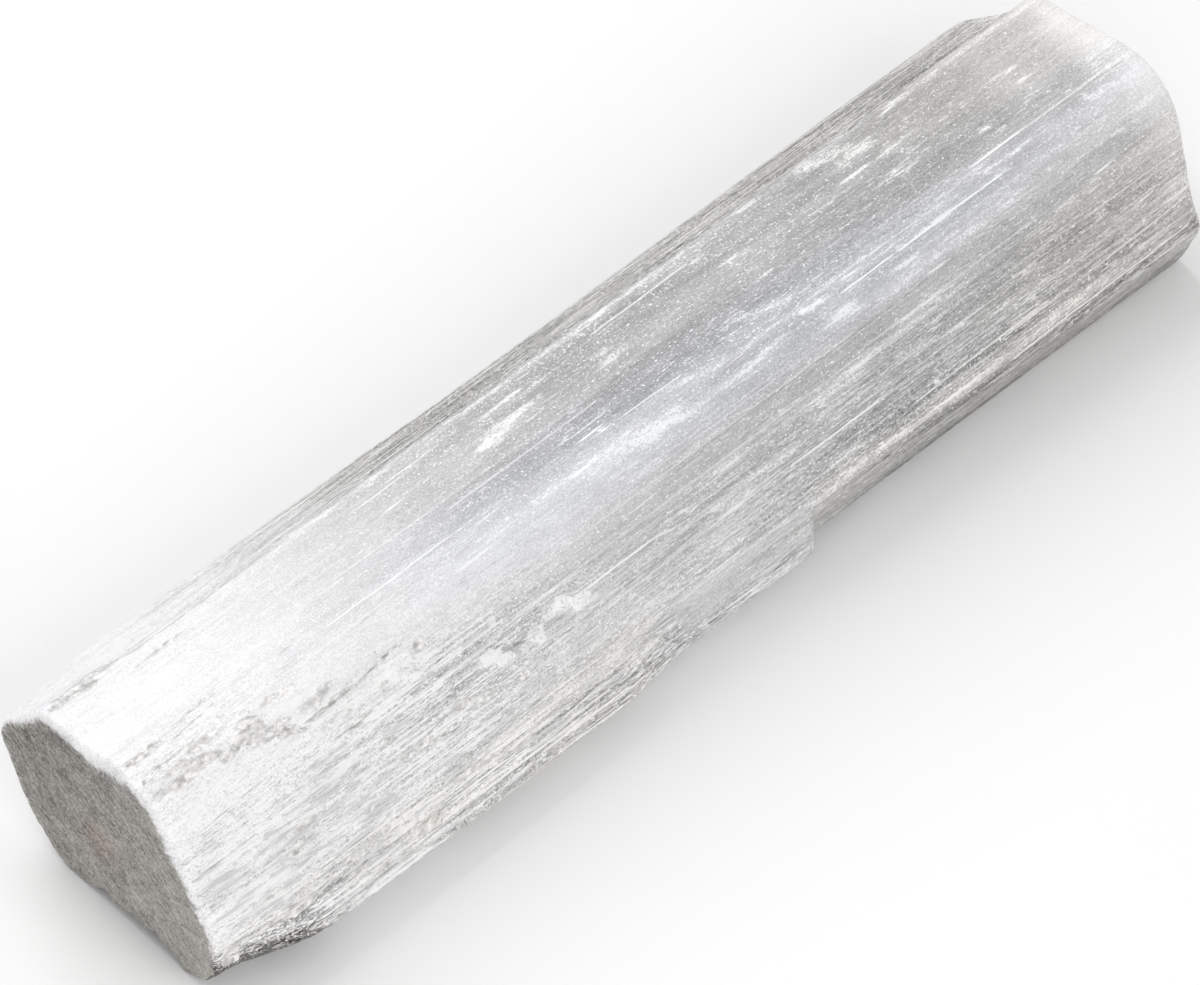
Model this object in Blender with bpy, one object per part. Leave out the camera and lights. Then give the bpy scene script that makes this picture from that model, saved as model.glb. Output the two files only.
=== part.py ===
"""Selenite (satin spar) log: one fibrous gypsum crystal, sawn at both ends and split
along its fibres, lying on its flat cleavage face.

Frame, metres: +X along the fibres, +Z up, the resting face at z = 0, and the origin
under the middle of the bounding box.  The long sides are one loft of rounded sections.
A cleavage slab stands proud on each flank and breaks off before the far end.
"""
import math

import bmesh
import bpy
from mathutils import noise

MM = 0.001

# ---- driving dimensions, in millimetres --------------------------------------------
LENGTH = 151.4            # along the fibres, sawn end to sawn end
HEIGHT = 27.3             # resting face to the crown

# Corners of the section, each (y, z, reach of its rounding), at the near sawn end and
# at the far end.  They run from the left tip over the top and back along the bottom.
LEFT_TIP = ((18.5, 16.0, 2.6), (19.7, 15.6, 2.2))
STRIP_TOP = ((11.1, 23.0, 0.5), (12.6, 23.0, 0.5))
LEFT_RIDGE = ((10.3, 24.2, 0.9), (11.9, 24.2, 0.8))
CROWN = ((-5.4, 26.6, 4.4), (-6.6, HEIGHT, 4.2))
SHOULDER = ((-9.6, 23.8, 3.8), (-11.9, 23.0, 3.4))
RIGHT_EDGE = ((-17.7, 10.0, 2.0), (-17.4, 9.2, 0.7))
RIGHT_HEEL = ((-17.2, 3.2, 1.6), (-15.9, 1.9, 1.0))
BASE_RIGHT = ((-13.6, 0.0, 1.4), (-14.9, 0.0, 0.8))
BASE_LEFT = ((8.0, 0.0, 1.4), (7.6, 0.0, 1.6))
LEFT_HAUNCH = ((13.2, 5.0, 2.8), (13.4, 5.4, 3.0))

LEFT_TIP_TAPER = 1.2      # the left tip draws in by this much towards the near end
LEFT_TIP_TAPER_LENGTH = 13.0
LEFT_TIP_WAVE = 0.35      # and wanders in and out by this much along the log
LEFT_TIP_WAVE_LENGTH = 130.0

RIDGE_MOVE = (-0.85, 0.24)    # behind a chip at the near end the ridge stands further in
RIDGE_MOVE_FROM, RIDGE_MOVE_TO = -68.0, -62.0
HOLLOW_DEPTH = 0.6            # the top dips behind the ridge at the near end
HOLLOW_MIDDLE, HOLLOW_WIDTH = 1.6, 3.6
HOLLOW_FROM, HOLLOW_TO = -74.0, -48.0

# The slab on the right flank: how far it moves each corner outwards, and its ends.
RIGHT_SLAB_START = -75.7
RIGHT_SLAB_RAMP = 12.0
RIGHT_SLAB_END = 12.6
RIGHT_SLAB_ROUND = 2.0
RIGHT_SLAB_EDGE = (0.0, 0.0)
RIGHT_SLAB_HEEL = (-3.0, 1.2)
RIGHT_SLAB_BASE = (-1.9, 0.0)
LOWER_EDGE = (-0.7, -1.05)    # past the slab the right edge sits lower, by this much at most
LOWER_EDGE_FROM, LOWER_EDGE_TO = 14.0, 50.0

# A second, thinner leaf lies on the near part of that slab.
RIGHT_LEAF_START = -72.0
RIGHT_LEAF_RAMP = 12.0
RIGHT_LEAF_FADE = -20.0
RIGHT_LEAF_END = -7.0
RIGHT_LEAF_EDGE = -0.5
RIGHT_LEAF_HEEL = -1.3

# The slab on the left flank is part of the section; past its end the flank falls back.
LEFT_SLAB_END = 71.0
LEFT_SLAB_SLANT = 1.7         # its broken end runs obliquely: the tip goes this much further
LEFT_SLAB_ROUND = 1.2
LEFT_SLAB_TIP = (-4.3, 1.2)
LEFT_SLAB_STRIP = (-0.1, -0.1)
LEFT_SLAB_HAUNCH = (-1.6, 0.5)

STEP_THICKNESS = 0.14     # length over which a broken slab end falls away
NEAR_ROUND = 0.9          # softened rim of the near sawn end
FAR_ROUND = 1.3           # worn rim of the far end
FAR_CUT = 1.1             # the far face is set back by this much at its right edge

FLUTE_DEPTH = 0.16        # shallow flutes that follow the fibres
SEED_SHIFT = 17.3         # where the flutes read the noise field

# Points on each corner's rounding, and along the edge that follows that corner.
ARC_POINTS = (3, 2, 2, 4, 4, 3, 3, 2, 2, 3)
EDGE_POINTS = (3, 0, 3, 2, 5, 1, 1, 5, 1, 3)

GYPSUM_COLOUR = (0.78, 0.78, 0.785, 1.0)
GYPSUM_ROUGHNESS = 0.34


def lerp(pair, t):
    """A corner between its values at the near and the far end."""
    near, far = pair
    return [n + (f - n) * t for n, f in zip(near, far)]


def smooth(a, b, x):
    t = min(1.0, max(0.0, (x - a) / (b - a)))
    return t * t * (3.0 - 2.0 * t)


def broken_end(x, end, radius):
    """1 on the slab, 0 past its end, with a rounded shoulder before the break."""
    if x <= end - radius:
        return 1.0
    if x <= end + 1e-6:
        k = (x - (end - radius)) / radius
        return 0.42 + 0.58 * math.sqrt(max(0.0, 1.0 - k * k))
    return max(0.0, 0.42 * (1.0 - (x - end) / STEP_THICKNESS))


def corners(x):
    """The ten corners of the section at x, as [y, z, reach]."""
    t = (x + LENGTH / 2) / LENGTH
    c = [lerp(p, t) for p in (LEFT_TIP, STRIP_TOP, LEFT_RIDGE, CROWN, SHOULDER,
                              RIGHT_EDGE, RIGHT_HEEL, BASE_RIGHT, BASE_LEFT, LEFT_HAUNCH)]
    right = broken_end(x, RIGHT_SLAB_END, RIGHT_SLAB_ROUND)
    right *= smooth(RIGHT_SLAB_START, RIGHT_SLAB_START + RIGHT_SLAB_RAMP, x)
    for i, (dy, dz) in ((5, RIGHT_SLAB_EDGE), (6, RIGHT_SLAB_HEEL), (7, RIGHT_SLAB_BASE)):
        c[i][0] += dy * right
        c[i][1] += dz * right
    leaf = smooth(RIGHT_LEAF_START, RIGHT_LEAF_START + RIGHT_LEAF_RAMP, x)
    leaf *= 1.0 - smooth(RIGHT_LEAF_FADE, RIGHT_LEAF_END, x)
    c[5][0] += RIGHT_LEAF_EDGE * leaf
    c[6][0] += RIGHT_LEAF_HEEL * leaf
    c[0][0] -= LEFT_TIP_TAPER * (1.0 - smooth(-LENGTH / 2, -LENGTH / 2 + LEFT_TIP_TAPER_LENGTH, x))
    c[0][0] += LEFT_TIP_WAVE * math.cos(2 * math.pi * (x + LENGTH / 2 - 10.0) / LEFT_TIP_WAVE_LENGTH)
    ridge = smooth(RIDGE_MOVE_FROM, RIDGE_MOVE_TO, x)
    for i in (1, 2):
        c[i][0] += RIDGE_MOVE[0] * ridge
        c[i][1] += RIDGE_MOVE[1] * ridge
    lower = 1.0 - broken_end(x, RIGHT_SLAB_END, RIGHT_SLAB_ROUND)
    lower *= (2.0 + smooth(LOWER_EDGE_FROM, LOWER_EDGE_TO, x)) / 3.0
    c[5][0] += LOWER_EDGE[0] * lower
    c[5][1] += LOWER_EDGE[1] * lower
    for i, (dy, dz) in ((0, LEFT_SLAB_TIP), (1, LEFT_SLAB_STRIP), (9, LEFT_SLAB_HAUNCH)):
        end = LEFT_SLAB_END + (0.0 if i == 1 else LEFT_SLAB_SLANT)
        left = 1.0 - broken_end(x, end, LEFT_SLAB_ROUND)
        c[i][0] += dy * left
        c[i][1] += dz * left
    return c


def ring(x):
    """The section at x as a closed list of (y, z), each corner rounded by a blend."""
    c = corners(x)
    n = len(c)
    pts = []
    for i in range(n):
        y, z, reach = c[i]
        ends = []
        for j in (i - 1, (i + 1) % n):
            dy, dz = c[j][0] - y, c[j][1] - z
            d = math.hypot(dy, dz)
            k = min(reach, 0.46 * d) / d
            ends.append((y + dy * k, z + dz * k))
        (ay, az), (by, bz) = ends
        for s in range(ARC_POINTS[i]):
            u = s / (ARC_POINTS[i] - 1)
            w0, w1, w2 = (1 - u) ** 2, 2 * u * (1 - u), u * u
            pts.append((w0 * ay + w1 * y + w2 * by, w0 * az + w1 * z + w2 * bz))
        # the straight edge up to the next corner's rounding
        m = (i + 1) % n
        ny, nz, nreach = c[m]
        d = math.hypot(ny - y, nz - z)
        k = min(nreach, 0.46 * d) / d
        ey, ez = ny + (y - ny) * k, nz + (z - nz) * k
        for s in range(1, EDGE_POINTS[i] + 1):
            u = s / (EDGE_POINTS[i] + 1)
            pts.append((by + (ey - by) * u, bz + (ez - bz) * u))
    return pts


def fluted(pts, x):
    """Move the points along the section's normal by flutes that run with the fibres."""
    out = []
    n = len(pts)
    for i, (y, z) in enumerate(pts):
        if z < 0.35:                      # the resting face stays flat
            out.append((y, max(z, 0.0)))
            continue
        py, pz = pts[i - 1]
        qy, qz = pts[(i + 1) % n]
        ty, tz = qy - py, qz - pz
        d = math.hypot(ty, tz)
        ny, nz = -tz / d, ty / d
        h = noise.noise((x * 0.012 + SEED_SHIFT, y * 0.55, z * 0.55))
        h += 0.6 * noise.noise((x * 0.03 - SEED_SHIFT, y * 1.3, z * 1.3))
        h *= FLUTE_DEPTH * min(1.0, z / 3.0)
        if z > 20.0:
            dip = HOLLOW_DEPTH * (1.0 - smooth(HOLLOW_FROM, HOLLOW_TO, x))
            h -= dip * math.exp(-((y - HOLLOW_MIDDLE) / HOLLOW_WIDTH) ** 2)
        out.append((y + ny * h, z + nz * h))
    return out


def stations():
    """Where the sections stand along the log, closer together at ends and breaks."""
    half = LENGTH / 2
    xs = [-half + NEAR_ROUND + 3.0 * k for k in range(0, 6)]
    xs += [-half + NEAR_ROUND + 15.0 + 5.6 * k for k in range(1, 11)]
    for end, radius in ((RIGHT_SLAB_END, RIGHT_SLAB_ROUND), (LEFT_SLAB_END, LEFT_SLAB_ROUND),
                        (LEFT_SLAB_END + LEFT_SLAB_SLANT, LEFT_SLAB_ROUND)):
        xs += [end - radius, end - 0.55 * radius, end - 0.2 * radius, end, end + STEP_THICKNESS]
    xs += [RIGHT_SLAB_END - RIGHT_SLAB_ROUND - 4.0]
    xs += [RIGHT_SLAB_END + 3.5 + 5.4 * k for k in range(0, 10)]
    xs += [half - FAR_ROUND - 0.6, half - FAR_ROUND]
    xs = sorted(x for x in xs if -half < x < half)
    kept = []
    for x in xs:
        if not kept or x - kept[-1] > 0.1:
            kept.append(x)
    return kept


def build():
    half = LENGTH / 2
    bm = bmesh.new()
    loops = []

    def add_loop(points, xs):
        vs = [bm.verts.new((x * MM, y * MM, z * MM)) for (y, z), x in zip(points, xs)]
        loops.append([bm.edges.new((vs[i], vs[(i + 1) % len(vs)])) for i in range(len(vs))])

    def inset(points, factor):
        """Shrink a section about its middle; the rim it makes is evenly round."""
        cy = sum(p[0] for p in points) / len(points)
        cz = sum(p[1] for p in points) / len(points)
        return [(cy + (y - cy) * factor, cz + (z - cz) * factor) for y, z in points]

    half_height = HEIGHT / 2
    xs = stations()

    # near sawn end: a quarter round, from the flat face out to the full section
    first = fluted(ring(xs[0]), xs[0])
    for angle in (5, 40, 68):
        a = math.radians(angle)
        factor = 1.0 - NEAR_ROUND * (1.0 - math.sin(a)) / half_height
        x = -half + NEAR_ROUND * (1.0 - math.cos(a))
        add_loop(inset(first, factor), [x] * len(first))

    for x in xs:
        pts = fluted(ring(x), x)
        add_loop(pts, [x + far_lean(x, y) for y, z in pts])

    # far end: a wider quarter round, on a face that leans
    last = fluted(ring(xs[-1]), xs[-1])
    for angle in (24, 48, 70, 86):
        a = math.radians(angle)
        factor = 1.0 - FAR_ROUND * (1.0 - math.cos(a)) / half_height
        x = half - FAR_ROUND + FAR_ROUND * math.sin(a)
        pts = inset(last, factor)
        add_loop(pts, [x + far_lean(x, y) for y, z in pts])

    for one, other in zip(loops, loops[1:]):
        bmesh.ops.bridge_loops(bm, edges=one + other)
    for cap in (loops[0], loops[-1]):
        bmesh.ops.holes_fill(bm, edges=cap)
    bmesh.ops.triangulate(bm, faces=bm.faces[:], quad_method='SHORT_EDGE')
    bmesh.ops.recalc_face_normals(bm, faces=bm.faces[:])

    # stand the log on z = 0 with the middle of its box over the origin
    xs_, ys_, zs_ = zip(*(v.co for v in bm.verts))
    shift = ((min(xs_) + max(xs_)) / 2, (min(ys_) + max(ys_)) / 2, min(zs_))
    for v in bm.verts:
        v.co.x -= shift[0]
        v.co.y -= shift[1]
        v.co.z -= shift[2]

    mesh = bpy.data.meshes.new("selenite_log")
    bm.to_mesh(mesh)
    bm.free()
    mesh.shade_smooth()
    mesh.set_sharp_from_angle(angle=math.radians(35))
    return mesh


def far_lean(x, y):
    """The far face is set back at its right edge: how far points near it move along x."""
    return -FAR_CUT * smooth(LENGTH / 2 - 9.0, LENGTH / 2 - 1.0, x) * smooth(-9.5, -17.0, y)


def gypsum():
    mat = bpy.data.materials.new("selenite")
    mat.use_nodes = True
    bsdf = mat.node_tree.nodes["Principled BSDF"]
    bsdf.inputs["Base Color"].default_value = GYPSUM_COLOUR
    bsdf.inputs["Roughness"].default_value = GYPSUM_ROUGHNESS
    bsdf.inputs["Metallic"].default_value = 0.0
    bsdf.inputs["IOR"].default_value = 1.52
    mat.diffuse_color = GYPSUM_COLOUR
    return mat


def main():
    for obj in list(bpy.data.objects):
        bpy.data.objects.remove(obj)
    log = bpy.data.objects.new("selenite_log", build())
    log.data.materials.append(gypsum())
    bpy.context.scene.collection.objects.link(log)


main()
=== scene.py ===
"""Looks of the satin spar selenite log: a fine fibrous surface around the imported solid."""
import math

import bpy
import numpy as np
from mathutils import Matrix, Vector


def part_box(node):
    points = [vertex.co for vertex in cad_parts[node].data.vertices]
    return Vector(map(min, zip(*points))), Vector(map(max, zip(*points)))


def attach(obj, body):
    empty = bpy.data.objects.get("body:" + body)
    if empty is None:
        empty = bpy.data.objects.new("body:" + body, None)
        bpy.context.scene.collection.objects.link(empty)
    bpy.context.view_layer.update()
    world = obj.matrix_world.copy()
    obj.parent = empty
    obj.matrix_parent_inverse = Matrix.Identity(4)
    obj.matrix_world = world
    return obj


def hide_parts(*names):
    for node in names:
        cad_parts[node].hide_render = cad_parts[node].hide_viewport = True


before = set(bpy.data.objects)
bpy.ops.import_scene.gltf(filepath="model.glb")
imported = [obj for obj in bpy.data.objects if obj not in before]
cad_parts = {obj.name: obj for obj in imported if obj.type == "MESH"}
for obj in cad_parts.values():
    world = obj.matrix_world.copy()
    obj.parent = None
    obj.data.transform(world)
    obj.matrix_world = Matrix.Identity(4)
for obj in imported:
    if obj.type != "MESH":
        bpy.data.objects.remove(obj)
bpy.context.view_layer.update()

# ======================================================================= shape of the log
# === shape begin
# The same sections as the solid, in millimetres: corners (y, z, reach of the rounding)
# at the near sawn end and at the far end.
LENGTH = 151.4
HEIGHT = 27.3
HALF = LENGTH / 2
SECTION = (
    ((18.5, 16.0, 2.6), (19.7, 15.6, 2.2)),        # 0 left tip
    ((11.1, 23.0, 0.5), (12.6, 23.0, 0.5)),        # 1 top of the left strip
    ((10.3, 24.2, 0.9), (11.9, 24.2, 0.8)),        # 2 left ridge
    ((-5.4, 26.6, 4.4), (-6.6, HEIGHT, 4.2)),     # 3 crown
    ((-9.6, 23.8, 3.8), (-11.9, 23.0, 3.4)),       # 4 shoulder
    ((-17.7, 10.0, 2.0), (-17.4, 9.2, 0.7)),       # 5 right edge
    ((-17.2, 3.2, 1.6), (-15.9, 1.9, 1.0)),        # 6 right heel
    ((-13.6, 0.0, 1.4), (-14.9, 0.0, 0.8)),        # 7 base, right
    ((8.0, 0.0, 1.4), (7.6, 0.0, 1.6)),            # 8 base, left
    ((13.2, 5.0, 2.8), (13.4, 5.4, 3.0)),          # 9 left haunch
)
# mesh points between the middles of neighbouring corners
SPANS = (38, 8, 66, 40, 76, 36, 20, 30, 22, 38)
RIGHT_END, RIGHT_ROUND = 12.6, 2.0
LEFT_END, LEFT_ROUND = 71.0, 1.2
STEP = 0.14


def smooth(a, b, x):
    t = np.clip((np.asarray(x, float) - a) / (b - a), 0.0, 1.0)
    return t * t * (3.0 - 2.0 * t)


def broken_end(x, end, radius):
    if x <= end - radius:
        return 1.0
    if x <= end + 1e-6:
        k = (x - (end - radius)) / radius
        return 0.42 + 0.58 * math.sqrt(max(0.0, 1.0 - k * k))
    return max(0.0, 0.42 * (1.0 - (x - end) / STEP))


def corners(x):
    t = (x + HALF) / LENGTH
    c = [[n + (f - n) * t for n, f in zip(*p)] for p in SECTION]
    right = broken_end(x, RIGHT_END, RIGHT_ROUND) * float(smooth(-75.7, -63.7, x))
    for i, dy, dz in ((6, -3.0, 1.2), (7, -1.9, 0.0)):
        c[i][0] += dy * right
        c[i][1] += dz * right
    leaf = float(smooth(-72.0, -60.0, x)) * (1.0 - float(smooth(-20.0, -7.0, x)))
    c[5][0] -= 0.5 * leaf
    c[6][0] -= 1.3 * leaf
    c[0][0] -= 1.2 * (1.0 - float(smooth(-HALF, -HALF + 13.0, x)))
    c[0][0] += 0.35 * math.cos(2 * math.pi * (x + HALF - 10.0) / 130.0)
    ridge = float(smooth(-68.0, -62.0, x))
    for i in (1, 2):
        c[i][0] -= 0.85 * ridge
        c[i][1] += 0.24 * ridge
    lower = (1.0 - broken_end(x, RIGHT_END, RIGHT_ROUND)) * (0.9 + 0.5 * float(smooth(14.0, 50.0, x)))
    c[5][0] -= 0.5 * lower
    c[5][1] -= 0.75 * lower
    for i, dy, dz, on in ((0, -4.3, 1.2, 1.7), (1, -0.1, -0.1, 0.0), (9, -1.6, 0.5, 1.7)):
        left = 1.0 - broken_end(x, LEFT_END + on, LEFT_ROUND)
        c[i][0] += dy * left
        c[i][1] += dz * left
    return np.array(c)


def ring(x):
    """The section at x: points (N, 2), spaced evenly between the middles of the corners,
    and how far along the outline each lies, from the left ridge, in millimetres."""
    c = corners(x)
    n = len(c)
    arcs = []
    for i in range(n):
        p, reach = c[i, :2], c[i, 2]
        ends = []
        for j in (i - 1, (i + 1) % n):
            d = c[j, :2] - p
            ln = math.hypot(*d)
            ends.append(p + d * (min(reach, 0.46 * ln) / ln))
        u = np.linspace(0.0, 1.0, 25)[:, None]
        arcs.append((1 - u) ** 2 * ends[0] + 2 * u * (1 - u) * p + u * u * ends[1])
    pts, along = [], []
    at = 0.0
    for k in range(n):
        i = (k + 2) % n                       # start at the left ridge
        j = (i + 1) % n
        line = np.vstack([arcs[i][12:], arcs[j][:13]])
        d = np.concatenate([[0.0], np.cumsum(np.hypot(*np.diff(line, axis=0).T))])
        s = np.linspace(0.0, d[-1], SPANS[i], endpoint=False)
        pts.append(np.stack([np.interp(s, d, line[:, 0]), np.interp(s, d, line[:, 1])], 1))
        along.append(at + s)
        at += d[-1]
    along = np.concatenate(along)
    along = np.where(along > at - 13.0, along - at, along)    # the left strip is negative
    return np.vstack(pts), along + 0.88 * float(smooth(-68.0, -62.0, x))
# === shape end


def stations():
    """Where the sections of the side stand: evenly along the fibres, closer at breaks."""
    xs = list(np.linspace(-HALF + 1.45, HALF - 1.75, 187))
    for end, radius in ((RIGHT_END, RIGHT_ROUND), (LEFT_END, LEFT_ROUND), (LEFT_END + 1.7, LEFT_ROUND)):
        xs = [x for x in xs if not end - radius - 0.1 < x < end + 0.6]
        xs += list(end - radius * np.array([1.0, 0.8, 0.6, 0.42, 0.26, 0.13, 0.04]))
        xs += [end, end + STEP * 0.5, end + STEP, end + 0.5]
    return np.array(sorted(xs))


def value_noise(u, v, seed):
    """Smooth 2-D noise in -1..1, the same on every run."""
    u, v = np.broadcast_arrays(np.asarray(u, float), np.asarray(v, float))
    iu, iv = np.floor(u).astype(np.int64), np.floor(v).astype(np.int64)
    fu, fv = u - iu, v - iv
    fu, fv = fu * fu * (3 - 2 * fu), fv * fv * (3 - 2 * fv)

    def cell(a, b):
        n = (a * 374761393 + b * 668265263 + seed * 974634533) & 0xFFFFFFFF
        n = ((n ^ (n >> 13)) * 1274126177) & 0xFFFFFFFF
        return ((n ^ (n >> 16)) & 0xFFFF) / 32767.5 - 1.0

    top = cell(iu, iv) * (1 - fu) + cell(iu + 1, iv) * fu
    low = cell(iu, iv + 1) * (1 - fu) + cell(iu + 1, iv + 1) * fu
    return top * (1 - fv) + low * fv


def layered(u, v, seed, octaves=3, gain=0.5):
    total, amp, norm = 0.0, 1.0, 0.0
    for k in range(octaves):
        total = total + amp * value_noise(u * 2 ** k, v * 2 ** k, seed + 31 * k)
        norm += amp
        amp *= gain
    return total / norm


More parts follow.
